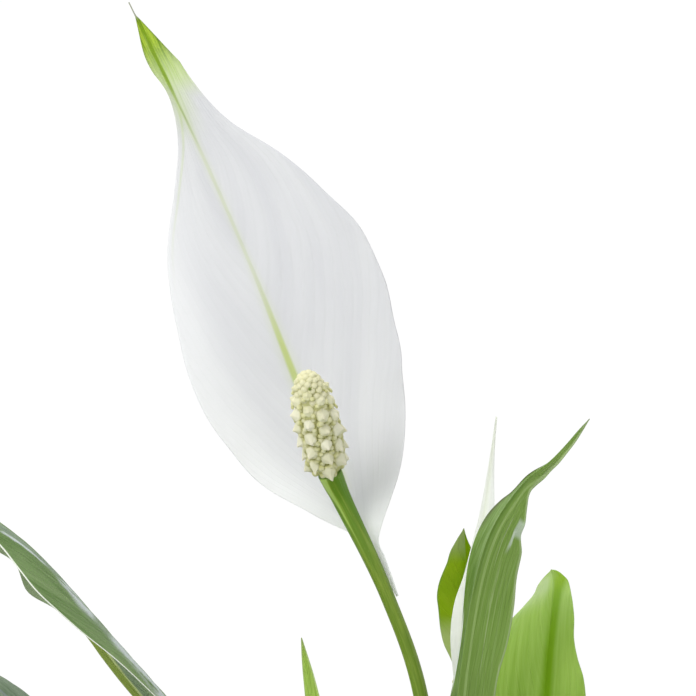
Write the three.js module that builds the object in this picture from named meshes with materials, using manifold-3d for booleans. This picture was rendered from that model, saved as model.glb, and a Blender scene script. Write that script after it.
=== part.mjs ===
// A potted peace lily, in millimetres and +Z up, standing on Z = 0 with the axis of its pot on Z.
// The open bloom faces the front, which is -Y. Each leaf is one piece with its stalk, and stands in
// its own hole in the soil. Each bloom is a green flower stalk, a white spathe and a pale spadix.

import * as THREE from "three";
import { mergeVertices } from "three/addons/utils/BufferGeometryUtils.js";
import Module from "manifold-3d";

const wasm = await Module();
wasm.setup();

// Pot
const POT_HEIGHT = 112;
const POT_RIM_RADIUS = 65;
const POT_FOOT_RADIUS = 45;
const POT_WALL = 4;
const POT_FLOOR = 5;
const POT_FOOT_ROUND = 1.5;
const RIM_BAND_HEIGHT = 24;
const RIM_BAND_STEP = 2.6;
const RIM_BAND_SLOPE = 1.4;
const RIM_ROUND = 1.6;
const RIM_INNER_ROUND = 1;
const POT_SIDES = 48;
const DRAIN_COUNT = 5;
const DRAIN_RADIUS = 5;
const DRAIN_SIDES = 16;
const DRAIN_RING_RADIUS = 27;

// Soil
const SOIL_TOP = 99;
const SOIL_GAP = 0.4;
const SOIL_SIDES = 32;
const SOIL_RING_SHARES = [0.24, 0.46, 0.66, 0.84, 1];
const SOIL_ROUGHNESS = 1.5;
const ROOT_DEPTH = 24;
const HOLE_GAP = 0.45;

// Leaves
const LEAF_THICKNESS = 0.8;
const LEAF_COLUMNS = [-1, -0.5, 0, 0.5, 1];
const STALK_STATIONS = [0, 0.2, 0.45, 0.75];
const BLADE_STEPS = 13;
const LONG_BLADE_STEPS = 22;
const STALK_RADIUS = 1.9;
const NECK_RADIUS = 1.5;
const SHEATH_SPREAD = 0.55;
const RIB_DEPTH = 1.5;
const STALK_EDGE_ANGLE = THREE.MathUtils.degToRad(72);
const BLADE_FOOT = 0.1;
const TIP_SHARE = 0.985;
const TIP_STALK_SHARE = 0.25;

// Blooms
const SPATHE_THICKNESS = 0.8;
const SPATHE_TIP_HALF_WIDTH = 0.6;
const SPATHE_TAPER_FROM = 0.9;
const SPATHE_TAPER_POWER = 0.85;
const SHEATH_GAP = 0.75;
const SHEATH_TURN_SHARES = [0.08, 0.28];
const SPATHE_COLUMNS = [-1, -0.8, -0.55, -0.28, 0, 0.28, 0.55, 0.8, 1];
const FLOWER_STALK_SIDES = 9;
const STALK_STEPS = 14;
const SPADIX_TWIST = 0.05;
const SPADIX_FOOT = 0.4;
const SPADIX_FOOT_GIRTH = 0.8;
const SPADIX_SWELL = 0.5;
const SPADIX_BLUNTNESS = 5;
const SPADIX_CROWDING = 0.04;
const FLORET_PITCH = 3.9;
const FLORET_SHOULDER = 0.75;
const FLORET_HEIGHT = 1.5;
const FLORET_FOOT_LEAN = -0.35;
const FLORET_TIP_LEAN = 0.55;

const GREEN_LEAF = { color: 0x4f8a35, roughness: 0.42, metalness: 0 };
const GREEN_STALK = { color: 0x6f9a32, roughness: 0.5, metalness: 0 };
const WHITE_SPATHE = { color: 0xeeeeea, roughness: 0.55, metalness: 0 };
const CREAM_SPADIX = { color: 0xe3e2b6, roughness: 0.7, metalness: 0 };
const CLAY = { color: 0xb8704c, roughness: 0.85, metalness: 0 };
const PEAT = { color: 0x3a2a20, roughness: 0.95, metalness: 0 };

const { lerp, clamp, smoothstep, degToRad } = THREE.MathUtils;
const vector = (x, y, z) => new THREE.Vector3(x, y, z);

// A repeatable draw between two values.
function seededDraw(seed) {
  let state = seed;
  return (low, high) => {
    state = (state * 16807) % 2147483647;
    return lerp(low, high, state / 2147483647);
  };
}

// A smooth curve through the points.
function curveThrough(points) {
  return new THREE.CatmullRomCurve3(points.map((point) => vector(...point)));
}

// The value at a share from 0 to 1 of a smooth run through evenly spaced values.
function runThrough(values, share) {
  const spans = values.length - 1;
  const at = (i) => values[Math.min(spans, Math.max(0, i))];
  const i = Math.min(spans - 1, Math.floor(share * spans));
  const t = share * spans - i;
  const [a, b, c, d] = [at(i - 1), at(i), at(i + 1), at(i + 2)];
  return b + 0.5 * t * (c - a + t * (2 * a - 5 * b + 4 * c - d + t * (3 * (b - c) + d - a)));
}

function geometryOf(vertices, triangles) {
  const geometry = new THREE.BufferGeometry().setFromPoints(vertices);
  geometry.setIndex(triangles.flat());
  geometry.computeVertexNormals();
  return geometry;
}

// A closed body through rings of equally many points, each ring counter-clockwise seen from the last.
function ringBody(rings, foot, head) {
  const n = rings[0].length;
  const vertices = rings.flat();
  const triangles = [];
  for (let r = 0; r + 1 < rings.length; r++)
    for (let k = 0; k < n; k++) {
      const [a, b] = [r * n + k, r * n + ((k + 1) % n)];
      triangles.push([a, b, b + n], [a, b + n, a + n]);
    }
  const last = (rings.length - 1) * n;
  vertices.push(foot, head);
  for (let k = 0; k < n; k++) {
    triangles.push([vertices.length - 2, (k + 1) % n, k]);
    triangles.push([vertices.length - 1, last + k, last + ((k + 1) % n)]);
  }
  return geometryOf(vertices, triangles);
}

// A closed sheet from rows of points on its upper and under faces. Both faces are split alike, and
// the split turns over at the middle column, as side veins do.
function sheetBody(rows) {
  const columns = rows[0].upper.length;
  const middle = (columns - 1) / 2;
  const vertices = rows.flatMap((row) => [...row.upper, ...row.under]);
  const upper = (i, j) => 2 * columns * i + j;
  const under = (i, j) => upper(i, j) + columns;
  const triangles = [];
  const quad = (a, b, c, d) => triangles.push([a, b, c], [a, c, d]);
  for (let i = 0; i + 1 < rows.length; i++) {
    for (let j = 0; j + 1 < columns; j++) {
      const cells =
        j < middle
          ? [[[i, j], [i + 1, j + 1], [i, j + 1]], [[i, j], [i + 1, j], [i + 1, j + 1]]]
          : [[[i, j], [i + 1, j], [i, j + 1]], [[i, j + 1], [i + 1, j], [i + 1, j + 1]]];
      for (const [a, b, c] of cells)
        triangles.push(
          [upper(...a), upper(...b), upper(...c)],
          [under(...a), under(...c), under(...b)],
        );
    }
    quad(under(i, 0), under(i + 1, 0), upper(i + 1, 0), upper(i, 0));
    const j = columns - 1;
    quad(upper(i, j), upper(i + 1, j), under(i + 1, j), under(i, j));
  }
  const end = rows.length - 1;
  for (let j = 0; j + 1 < columns; j++) {
    quad(upper(0, j), upper(0, j + 1), under(0, j + 1), under(0, j));
    quad(under(end, j), under(end, j + 1), upper(end, j + 1), upper(end, j));
  }
  return geometryOf(vertices, triangles);
}

function solidOf(geometry) {
  const plain = geometry.clone();
  plain.deleteAttribute("normal");
  plain.deleteAttribute("uv");
  const merged = mergeVertices(plain, 1e-3);
  const mesh = { numProp: 3, vertProperties: merged.attributes.position.array };
  return new wasm.Manifold(new wasm.Mesh({ ...mesh, triVerts: new Uint32Array(merged.index.array) }));
}

function geometryOfSolid(solid) {
  const { vertProperties, triVerts } = solid.getMesh();
  const geometry = new THREE.BufferGeometry();
  geometry.setAttribute("position", new THREE.BufferAttribute(vertProperties, 3));
  geometry.setIndex(new THREE.BufferAttribute(triVerts, 1));
  geometry.computeVertexNormals();
  return geometry;
}

function piece(name, geometry, look) {
  const mesh = new THREE.Mesh(geometry, new THREE.MeshStandardMaterial(look));
  mesh.name = name;
  return mesh;
}

// The radius of the pot's inner wall at a height.
function potBore(z) {
  return lerp(POT_FOOT_RADIUS, POT_RIM_RADIUS - RIM_BAND_STEP, z / POT_HEIGHT) - POT_WALL;
}

function pot() {
  const outer = (z) => potBore(z) + POT_WALL;
  const band = POT_HEIGHT - RIM_BAND_HEIGHT;
  const profile = [
    [0, 0],
    [POT_FOOT_RADIUS - POT_FOOT_ROUND, 0],
    [POT_FOOT_RADIUS, POT_FOOT_ROUND],
    [outer(band), band],
    [outer(band) + RIM_BAND_STEP, band + RIM_BAND_SLOPE],
    [POT_RIM_RADIUS, POT_HEIGHT - RIM_ROUND],
    [POT_RIM_RADIUS - RIM_ROUND, POT_HEIGHT],
    [potBore(POT_HEIGHT) + RIM_INNER_ROUND, POT_HEIGHT],
    [potBore(POT_HEIGHT), POT_HEIGHT - RIM_INNER_ROUND],
    [potBore(POT_FLOOR), POT_FLOOR],
    [0, POT_FLOOR],
  ];
  const points = profile.map(([x, y]) => new THREE.Vector2(x, y));
  const body = new THREE.LatheGeometry(points, POT_SIDES).rotateX(Math.PI / 2);
  const drains = Array.from({ length: DRAIN_COUNT }, (_, i) => {
    const angle = (2 * Math.PI * i) / DRAIN_COUNT;
    const drain = new THREE.CylinderGeometry(DRAIN_RADIUS, DRAIN_RADIUS, 3 * POT_FLOOR, DRAIN_SIDES);
    drain.rotateX(Math.PI / 2);
    drain.translate(DRAIN_RING_RADIUS * Math.cos(angle), DRAIN_RING_RADIUS * Math.sin(angle), 0);
    return solidOf(drain);
  });
  const drilled = drains.reduce((rest, drain) => rest.subtract(drain), solidOf(body));
  return piece("pot", geometryOfSolid(drilled), CLAY);
}

// How far the soil's surface stands above its mean level: low mounds, with crumbs on them.
function soilRelief(x, y) {
  const mounds = Math.sin(0.11 * x + 1.3) * Math.cos(0.13 * y - 0.4);
  const crumbs = Math.sin(0.61 * x + 0.37 * y) * Math.sin(0.53 * y - 0.29 * x + 2);
  return SOIL_ROUGHNESS * (0.6 * mounds + 0.5 * crumbs);
}

function soil(stalks) {
  const around = (radius, height) =>
    Array.from({ length: SOIL_SIDES }, (_, k) => {
      const angle = (2 * Math.PI * k) / SOIL_SIDES;
      const [x, y] = [radius * Math.cos(angle), radius * Math.sin(angle)];
      return vector(x, y, height(x, y));
    });
  const surface = (x, y) => SOIL_TOP + soilRelief(x, y);
  const bottom = POT_FLOOR + SOIL_GAP;
  const topRadius = potBore(SOIL_TOP - SOIL_ROUGHNESS) - SOIL_GAP;
  const rings = [
    around(potBore(bottom) - 2 * SOIL_GAP, () => bottom),
    ...SOIL_RING_SHARES.toReversed().map((share) => around(share * topRadius, surface)),
  ];
  const body = ringBody(rings, vector(0, 0, bottom), vector(0, 0, surface(0, 0)));
  const holed = stalks.reduce((rest, stalk) => rest.subtract(solidOf(stalk)), solidOf(body));
  return piece("soil", geometryOfSolid(holed), PEAT);
}

// The half width of a blade as a share of its widest: a rounded foot, and a long pointed tip.
function bladeOutline(v) {
  return 1.06 * Math.sin(Math.PI * v ** 0.8) ** 0.8 * (1 - 0.35 * v * v);
}

// One row of points across a leaf. along runs from 0 at the root through 1 at the foot of the blade
// to 2 at its tip. spare widens the stalk, for the hole that it stands in.
function leafRow(leaf, along, spare = 0) {
  const spans = leaf.points.length - 1;
  const v = Math.max(0, along - 1);
  const place = along < 1 ? along * leaf.stalkSpans : lerp(leaf.stalkSpans, spans, v);
  const t = place / spans;
  const centre = leaf.curve.getPoint(t);
  const forward = leaf.curve.getTangent(t);
  const across = vector(-Math.sin(leaf.azimuth), Math.cos(leaf.azimuth), 0);
  across.addScaledVector(forward, -across.dot(forward)).normalize();
  across.applyAxisAngle(forward, degToRad(runThrough(leaf.roll, v)));
  const up = forward.clone().cross(across);

  const q = Math.min(1, along);
  const radius = lerp(STALK_RADIUS, NECK_RADIUS, q) * leaf.stalkScale * lerp(1, TIP_STALK_SHARE, v) + spare;
  const sheath = 1 + SHEATH_SPREAD * (1 - q) ** 2;
  const blade = smoothstep(v, 0, BLADE_FOOT);
  const halfWidthAt = (outline) => (leaf.width / 2) * (outline ? runThrough(outline, v) : bladeOutline(v));
  const half = (LEAF_THICKNESS / 2) * Math.hypot(1, leaf.keel);
  const row = { upper: [], under: [] };
  for (const u of LEAF_COLUMNS) {
    const halfWidth = halfWidthAt(u < 0 ? leaf.outline : leaf.farOutline);
    const phase = 2 * Math.PI * leaf.waves * v + leaf.wavePhase + (u < 0 ? 0 : leaf.waveShift);
    const wave = leaf.wave * Math.sin(Math.PI * v) * u * u * Math.sin(phase);
    const height = halfWidth * (leaf.keel * Math.abs(u) - leaf.arch * u * u) + wave;
    const angle = Math.PI / 2 - STALK_EDGE_ANGLE * u;
    const x = lerp(radius * sheath * Math.cos(angle), halfWidth * u, blade);
    const rib = u === 0 ? RIB_DEPTH * leaf.stalkScale * (1 - v) : 0;
    const top = lerp(radius * Math.sin(angle), height + half, blade);
    const bottom = lerp(-radius * Math.sin(angle), height - half - rib, blade);
    const foot = centre.clone().addScaledVector(across, x);
    row.upper.push(foot.clone().addScaledVector(up, top));
    row.under.push(foot.clone().addScaledVector(up, bottom));
  }
  return row;
}

// Fills in what a leaf's entry leaves out. Angles in an entry are in degrees. The rolls, the widths
// on one side (outline) and on the other (farOutline) run evenly from the blade's foot to its tip.
function grown(entry) {
  const usual = { stalkSpans: 2, roll: [0, 0], keel: 0.3, arch: 0.42, wave: 1.6, waves: 3 };
  const leaf = { ...usual, stalkScale: 1, wavePhase: 0, waveShift: 2, steps: BLADE_STEPS, ...entry };
  leaf.azimuth = degToRad(leaf.azimuth);
  leaf.farOutline ??= leaf.outline;
  leaf.curve = curveThrough(leaf.points);
  return leaf;
}

function leafPiece(leaf) {
  const steps = Array.from({ length: leaf.steps + 1 }, (_, i) => 1 + (TIP_SHARE * i) / leaf.steps);
  const rows = [...STALK_STATIONS, ...steps].map((along) => leafRow(leaf, along));
  return piece(leaf.name, sheetBody(rows), GREEN_LEAF);
}

// The share of a curve at which it has risen clear of the soil.
function shareAtMouth(curve) {
  let share = 0;
  while (curve.getPoint(share).z < SOIL_TOP + 2 * SOIL_ROUGHNESS) share += 0.005;
  return share;
}

// The hole that a leaf's stalk stands in, open at the soil's surface.
function leafHole(leaf) {
  const mouth = (shareAtMouth(leaf.curve) * (leaf.points.length - 1)) / leaf.stalkSpans;
  const rows = [0, mouth].map((along) => leafRow(leaf, along, HOLE_GAP));
  const below = leaf.curve.getTangent(0).multiplyScalar(-HOLE_GAP);
  for (const point of [...rows[0].upper, ...rows[0].under]) point.add(below);
  return sheetBody(rows);
}

// The points of a leaf that leans outward and bends over more and more towards its tip.
function archedPoints(azimuth, root, stalk, blade, lean, droop, swing) {
  const at = { radius: root, height: SOIL_TOP - ROOT_DEPTH, azimuth: degToRad(azimuth) };
  let [x, y, z] = [root * Math.cos(at.azimuth), root * Math.sin(at.azimuth), at.height];
  const points = [[x, y, z]];
  const halfStalk = (stalk + ROOT_DEPTH) / 2;
  const lengths = [halfStalk, halfStalk, blade / 3, blade / 3, blade / 3];
  lengths.forEach((length, i) => {
    const share = i / (lengths.length - 1);
    const tilt = degToRad(lerp(lean, droop, share ** 1.6));
    const heading = at.azimuth + degToRad(swing) * share * share;
    x += length * Math.sin(tilt) * Math.cos(heading);
    y += length * Math.sin(tilt) * Math.sin(heading);
    z += length * Math.cos(tilt);
    points.push([x, y, z]);
  });
  return points;
}

// Leaves that stand up out of the crown, each on a path of its own.
const STANDING_LEAVES = [
  {
    name: "leaf_tall",
    azimuth: -125,
    points: [
      [3, -5.5, 75],
      [3, -7, 140],
      [3.6, -9, 201],
      [4.6, -10, 234],
      [6.4, -11, 267],
      [12.3, -13, 297],
      [19.8, -15, 309.4],
      [26.9, -16.6, 315.8],
      [35.1, -18, 325.2],
    ],
    width: 11.5,
    outline: [
      0, 0.32, 0.7, 0.96, 1.2, 1.55, 1.75, 1.41, 0.98, 0.68, 0.78, 1.15, 1.44,
      1.54, 1.28, 0.75, 0.42, 0.28, 0.24, 0.22, 0.22, 0.19, 0.14, 0.07, 0,
    ],
    farOutline: [
      0, 0.28, 0.6, 0.78, 0.9, 0.96, 1, 1.08, 1.16, 1.3, 1.25, 1.07, 0.98,
      0.8, 0.79, 0.6, 0.34, 0.25, 0.2, 0.16, 0.19, 0.19, 0.16, 0.08, 0,
    ],
    keel: 1,
    arch: 0.2,
    wave: 1.2,
    waves: 3.5,
    wavePhase: 1.5,
    steps: LONG_BLADE_STEPS,
  },
  {
    name: "leaf_back",
    azimuth: 100,
    points: [[5, 16.5, 75], [5, 22, 140], [6.5, 32, 205], [8, 42, 250], [9, 47, 276], [7.6, 50, 298.3]],
    stalkSpans: 3,
    roll: [15, 15],
    width: 16,
    outline: [
      0, 0.14, 0.28, 0.36, 0.43, 0.5, 0.58, 0.68, 0.74,
      0.77, 0.76, 0.72, 0.66, 0.54, 0.27, 0.09, 0,
    ],
    farOutline: [
      0, 0.14, 0.3, 0.38, 0.46, 0.6, 0.76, 0.86, 0.95,
      1.02, 1.04, 0.94, 0.78, 0.61, 0.49, 0.25, 0,
    ],
    wavePhase: 1,
    wave: 0.8,
  },
  {
    name: "leaf_right",
    azimuth: 85,
    points: [
      [7, 4, 75],
      [12, 8, 135],
      [20.6, 17, 195],
      [24.2, 24, 232],
      [26.5, 34, 261],
      [28.8, 52, 282],
      [29.2, 72, 287.5],
    ],
    roll: [-30, -30],
    width: 31,
    outline: [
      0, 0.29, 0.6, 0.72, 0.78, 0.83, 0.86, 0.88, 0.88, 0.88, 0.87, 0.81, 0.73,
      0.62, 0.56, 0.56, 0.5, 0.41, 0.33, 0.27, 0.21, 0.16, 0.11, 0.06, 0,
    ],
    farOutline: [
      0, 0.28, 0.6, 0.77, 0.88, 0.97, 1.04, 1.09, 1.12, 1.12, 1.12, 1.12, 1.12,
      1.12, 1.06, 0.95, 0.84, 0.69, 0.47, 0.3, 0.23, 0.17, 0.13, 0.08, 0,
    ],
    keel: 0.4,
    arch: 0.2,
    wave: 1.2,
    wavePhase: 2,
  },
  {
    name: "leaf_young",
    azimuth: 140,
    points: [
      [-5, 6, 75],
      [-9, 12, 130],
      [-14, 19, 178],
      [-19, 24, 213],
      [-25.8, 28, 247],
      [-31, 31, 273.3],
    ],
    roll: [-40, -75],
    width: 9,
    keel: 0.7,
    arch: 0.3,
    wave: 1,
    stalkScale: 0.85,
  },
  {
    name: "leaf_left",
    azimuth: 180,
    points: [
      [-6.5, -1.5, 75],
      [-14, -4, 150],
      [-45, -9, 236],
      [-67.9, -11, 267],
      [-97.8, -13, 299.7],
      [-130, -15, 314],
      [-163, -17, 309],
    ],
    roll: [24, 25, 19, 5, 0, 0, 0, 0, 0],
    width: 34,
    outline: [
      0, 0.3, 0.38, 0.38, 0.38, 0.38, 0.4, 0.44, 0.52, 0.86, 1.34, 0.94, 1.04,
      0.85, 0.78, 0.76, 0.8, 0.76, 0.7, 0.62, 0.53, 0.42, 0.3, 0.16, 0,
    ],
    farOutline: [
      0, 0.35, 0.6, 0.7, 0.76, 0.8, 0.86, 0.9, 0.96, 0.93, 0.88, 0.68, 0.48,
      0.5, 0.68, 0.76, 0.78, 0.76, 0.7, 0.62, 0.53, 0.42, 0.3, 0.16, 0,
    ],
    keel: 0.05,
    arch: 0.42,
    wave: 0.4,
    steps: LONG_BLADE_STEPS,
  },
  {
    name: "leaf_left_low",
    azimuth: 168,
    points: [
      [-12.5, 3.5, 75],
      [-24, 8, 140],
      [-50, 16, 205],
      [-79, 22, 234.8],
      [-105, 28, 262.7],
      [-133, 34, 274.5],
      [-162, 38, 268],
    ],
    width: 40,
    arch: 0.4,
    wave: 2,
  },
];

// Whorls of leaves that lean outward, each a little different from the next.
const WHORLS = [
  { name: "outer", seed: 11, count: 9, start: 25, root: 27, stalk: 62, blade: 104, lean: 28, droop: 112 },
  { name: "middle", seed: 5, count: 8, start: 50, root: 20.5, stalk: 88, blade: 112, lean: 18, droop: 104 },
  { name: "inner", seed: 23, count: 4, start: 15, root: 14, stalk: 104, blade: 104, lean: 12, droop: 88 },
];
const WHORL_WIDTHS = { outer: 42, middle: 42, inner: 38 };

function whorlLeaves(whorl) {
  const draw = seededDraw(whorl.seed);
  return Array.from({ length: whorl.count }, (_, i) => {
    const azimuth = whorl.start + (360 * i) / whorl.count + draw(-5, 5);
    const stalk = whorl.stalk * draw(0.92, 1.06);
    const blade = whorl.blade * draw(0.92, 1.08);
    const lean = whorl.lean + draw(-3, 3);
    const droop = whorl.droop + draw(-8, 8);
    return {
      name: `leaf_${whorl.name}_${i + 1}`,
      azimuth,
      points: archedPoints(azimuth, whorl.root, stalk, blade, lean, droop, draw(-14, 14)),
      width: WHORL_WIDTHS[whorl.name] * draw(0.9, 1.08),
      roll: [draw(-6, 6), draw(-12, 12)],
      wavePhase: draw(0, 6),
      waveShift: draw(1, 4),
      wave: draw(1.2, 2.2),
    };
  });
}

const leaves = [...STANDING_LEAVES, ...WHORLS.flatMap(whorlLeaves)].map(grown);

// A round stalk along a curve, with the radii at evenly spaced shares of it.
function flowerStalk({ stalk, radii }) {
  const shares = Array.from({ length: STALK_STEPS + 1 }, (_, i) => i / STALK_STEPS);
  return roundBody(curveThrough(stalk), radii, shares, 0);
}

// The hole that a flower stalk stands in.
function flowerHole({ stalk, radii }) {
  const [[x, y, z], ...rest] = stalk;
  const curve = curveThrough([[x, y, z - HOLE_GAP], ...rest]);
  return roundBody(curve, radii, [0, shareAtMouth(curve)], HOLE_GAP);
}

function roundBody(curve, radii, shares, spare) {
  const rings = shares.map((t) => {
    const centre = curve.getPoint(t);
    const forward = curve.getTangent(t);
    const side = vector(1, 0, 0).addScaledVector(forward, -forward.x).normalize();
    const up = forward.clone().cross(side);
    const radius = runThrough(radii, t) + spare;
    return Array.from({ length: FLOWER_STALK_SIDES }, (_, k) => {
      const angle = (2 * Math.PI * k) / FLOWER_STALK_SIDES;
      const spoke = side.clone().multiplyScalar(radius * Math.cos(angle));
      return centre.clone().add(spoke).addScaledVector(up, radius * Math.sin(angle));
    });
  });
  return ringBody(rings, curve.getPoint(shares[0]), curve.getPoint(shares.at(-1)));
}

// A spathe: a thin leaf behind the spadix, bent about its midrib to a stated curvature. Its foot
// runs up the flower stalk as a narrow sheath, just clear of it, and its inner face turns from the
// stalk to the front. Near its top it tapers to the thread that it ends in.
function spatheBody({ stalk, radii, spathe }) {
  const stalkCurve = curveThrough(stalk);
  const sheath = spathe.sheathFrom.map((t) => {
    const forward = stalkCurve.getTangent(t);
    const side = vector(...spathe.sheathSide);
    side.addScaledVector(forward, -side.dot(forward)).normalize();
    const offset = runThrough(radii, t) + SHEATH_GAP + SPATHE_THICKNESS / 2;
    return stalkCurve.getPoint(t).addScaledVector(side, offset).toArray();
  });
  const curve = curveThrough([...sheath, ...spathe.midrib]);
  const rows = Array.from({ length: spathe.steps + 1 }, (_, i) => {
    const t = i / spathe.steps;
    const centre = curve.getPoint(t);
    const forward = curve.getTangent(t);
    const front = vector(...spathe.sheathSide).negate();
    front.lerp(vector(...spathe.front), smoothstep(t, ...SHEATH_TURN_SHARES));
    front.addScaledVector(forward, -front.dot(forward)).normalize();
    const across = front.clone().cross(forward);
    const curvature = runThrough(spathe.curvature, t);
    const aboveTaper = (t - SPATHE_TAPER_FROM) / (spathe.threadFrom - SPATHE_TAPER_FROM);
    const taper = (1 - clamp(aboveTaper, 0, 1)) ** SPATHE_TAPER_POWER;
    const row = { upper: [], under: [] };
    for (const u of SPATHE_COLUMNS) {
      const open = runThrough(u < 0 ? spathe.right : spathe.left, t);
      const width = Math.max(SPATHE_TIP_HALF_WIDTH, open * taper);
      const turn = curvature * u * width;
      const swell = spathe.wave * u * u * Math.sin(Math.PI * t);
      const wave = swell * Math.sin(spathe.waves * t + 2 * Math.sign(u));
      const sideways = Math.sin(turn) / curvature;
      const outward = (1 - Math.cos(turn)) / curvature + wave;
      const normal = front.clone().multiplyScalar(Math.cos(turn)).addScaledVector(across, -Math.sin(turn));
      const middle = centre.clone().addScaledVector(across, sideways).addScaledVector(front, outward);
      row.upper.push(middle.clone().addScaledVector(normal, SPATHE_THICKNESS / 2));
      row.under.push(middle.addScaledVector(normal, -SPATHE_THICKNESS / 2));
    }
    return row;
  });
  return sheetBody(rows);
}

// A spadix of a length and girth along +Z, with the tip of its blunt foot just below the origin. Its
// florets fill staggered cells of two half columns by two levels, each a knob on a square shoulder.
function spadixBody(length, girth, columns, knob) {
  const levels = 2 * Math.round(length / FLORET_PITCH);
  const ring = 2 * columns;
  const radiusAt = (share) => {
    const dome = Math.sqrt(Math.max(0.05, 1 - share ** SPADIX_BLUNTNESS));
    return girth * Math.min(1, SPADIX_FOOT_GIRTH + SPADIX_SWELL * share) * dome;
  };
  const pointAt = (m, level, out) => {
    const share = level / levels;
    const angle = (2 * Math.PI * m) / ring + SPADIX_TWIST * level;
    const radius = radiusAt(share) + out * (1 - FLORET_TIP_LEAN * share);
    const rise = out * lerp(FLORET_FOOT_LEAN, FLORET_TIP_LEAN, share);
    const z = length * share * (1 - SPADIX_CROWDING * share) + rise;
    return vector(radius * Math.cos(angle), radius * Math.sin(angle), z);
  };
  const vertices = [];
  for (let level = 0; level <= levels; level++)
    for (let m = 0; m < ring; m++) vertices.push(pointAt(m, level, 0));
  const at = (m, level) => level * ring + ((m + ring) % ring);
  const add = (point) => vertices.push(point) - 1;
  const triangles = [];
  const plainCells = (m, level) => {
    for (const [a, b] of [[m - 1, m], [m, m + 1]]) {
      triangles.push([at(a, level), at(b, level), at(b, level + 1)]);
      triangles.push([at(a, level), at(b, level + 1), at(a, level + 1)]);
    }
  };
  const floret = (m, level) => {
    const rim = [[-1, -1], [0, -1], [1, -1], [1, 0], [1, 1], [0, 1], [-1, 1], [-1, 0]];
    const edge = rim.map(([i, j]) => at(m + i, level + j));
    const corners = [[-1, -1], [1, -1], [1, 1], [-1, 1]];
    const shoulderAt = ([i, j]) => pointAt(m + i / 2, level + j / 2, FLORET_SHOULDER * knob);
    const shoulder = corners.map((corner) => add(shoulderAt(corner)));
    const tip = add(pointAt(m, level, FLORET_HEIGHT * knob));
    for (let k = 0; k < 4; k++) {
      const [inner, next] = [shoulder[k], shoulder[(k + 1) % 4]];
      const [first, second, third] = [edge[2 * k], edge[2 * k + 1], edge[(2 * k + 2) % 8]];
      triangles.push([first, second, inner], [second, next, inner], [second, third, next]);
      triangles.push([inner, next, tip]);
    }
  };
  for (let column = 0; column < columns; column++) {
    const m = 2 * column;
    const start = column % 2;
    if (start) plainCells(m, 0);
    for (let level = start + 1; level < levels; level += 2) floret(m, level);
    if (start) plainCells(m, levels - 1);
  }
  const foot = add(vector(0, 0, -SPADIX_FOOT));
  const head = add(vector(0, 0, length));
  for (let m = 0; m < ring; m++) {
    triangles.push([foot, at(m + 1, 0), at(m, 0)]);
    triangles.push([head, at(m, levels), at(m + 1, levels)]);
  }
  return geometryOf(vertices, triangles);
}

const BLOOMS = [
  {
    name: "bloom_open",
    stalk: [
      [1, 1.5, 75],
      [1.6, 3, 122],
      [1.6, 4, 168],
      [0.6, 4, 214],
      [-3.3, 2.4, 261],
      [-11.1, -2, 284.3],
      [-21.4, -8, 306.4],
      [-24.2, -11.9, 312.6],
    ],
    radii: [2.3, 2.1, 1.95, 1.85, 1.7, 1.65, 2.25, 2.8],
    spathe: {
      sheathFrom: [0.705, 0.785],
      sheathSide: [0.75, 0.65, 0],
      midrib: [[-29, 6, 326.6], [-41.8, 10, 358.4], [-55.6, 11, 389.8], [-70.6, 5, 420.8]],
      front: [0, -1, 0],
      threadFrom: 0.982,
      left: [0.6, 0.7, 1.2, 2, 9.9, 17.6, 21.8, 23.7, 22.8, 20.7, 17.2, 10.7, 4.2, 1.3, 3.2, 2],
      right: [0.6, 0.7, 1.2, 2.4, 14.6, 20.8, 25.7, 27.8, 29, 27.7, 22.7, 17, 9.2, 5.4, 4.3, 4],
      curvature: [0.38, 0.34, 0.12, 0.03, 0.024, 0.02, 0.018, 0.018, 0.025, 0.06, 0.1],
      wave: 1.2,
      waves: 14,
      steps: 20,
    },
    spadix: {
      foot: [-24.75, -12.4, 313.4],
      direction: [-0.185, -0.574, 0.8],
      length: 28.2,
      girth: 4.3,
      columns: 10,
      knob: 1,
    },
  },
  {
    name: "bloom_young",
    stalk: [[5, 10, 75], [5.4, 12, 122], [5.6, 15, 170], [5.8, 18, 216], [6.6, 21, 259]],
    radii: [2.1, 1.9, 1.7, 1.6, 1.9],
    spathe: {
      sheathFrom: [0.86, 0.94],
      sheathSide: [0, -1, 0],
      midrib: [[7.4, 15, 273.8], [9.3, 14.5, 287.6], [12, 15, 303.7], [14.6, 18, 325]],
      front: [0.4, 0.92, 0],
      threadFrom: 1,
      left: [0.9, 1.3, 1.8, 3, 6.5, 7.5, 6.5, 4.4, 2.2, 1, 0.8],
      right: [0.9, 1.3, 1.8, 2.4, 5.1, 4.9, 2.9, 1.9, 1.2, 0.9, 0.8],
      curvature: [0.37, 0.3, 0.16, 0.14, 0.14, 0.14, 0.16, 0.3],
      wave: 0.3,
      waves: 9,
      steps: 12,
    },
    spadix: {
      foot: [6.7, 21.1, 259.8],
      direction: [0.08, 0.02, 1],
      length: 23,
      girth: 2.3,
      columns: 6,
      knob: 0.5,
    },
  },
];

function spadixPiece(name, { foot, direction, length, girth, columns, knob }) {
  const mesh = piece(name, spadixBody(length, girth, columns, knob), CREAM_SPADIX);
  mesh.position.set(...foot);
  mesh.quaternion.setFromUnitVectors(vector(0, 0, 1), vector(...direction).normalize());
  return mesh;
}

function bloomGroup(bloom) {
  const group = new THREE.Group();
  group.add(piece(`${bloom.name}_stalk`, flowerStalk(bloom), GREEN_STALK));
  group.add(piece(`${bloom.name}_spathe`, spatheBody(bloom), WHITE_SPATHE));
  group.add(spadixPiece(`${bloom.name}_spadix`, bloom.spadix));
  return group;
}

const plant = new THREE.Group();
for (const leaf of leaves) plant.add(leafPiece(leaf));
for (const bloom of BLOOMS) plant.add(bloomGroup(bloom));

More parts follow.
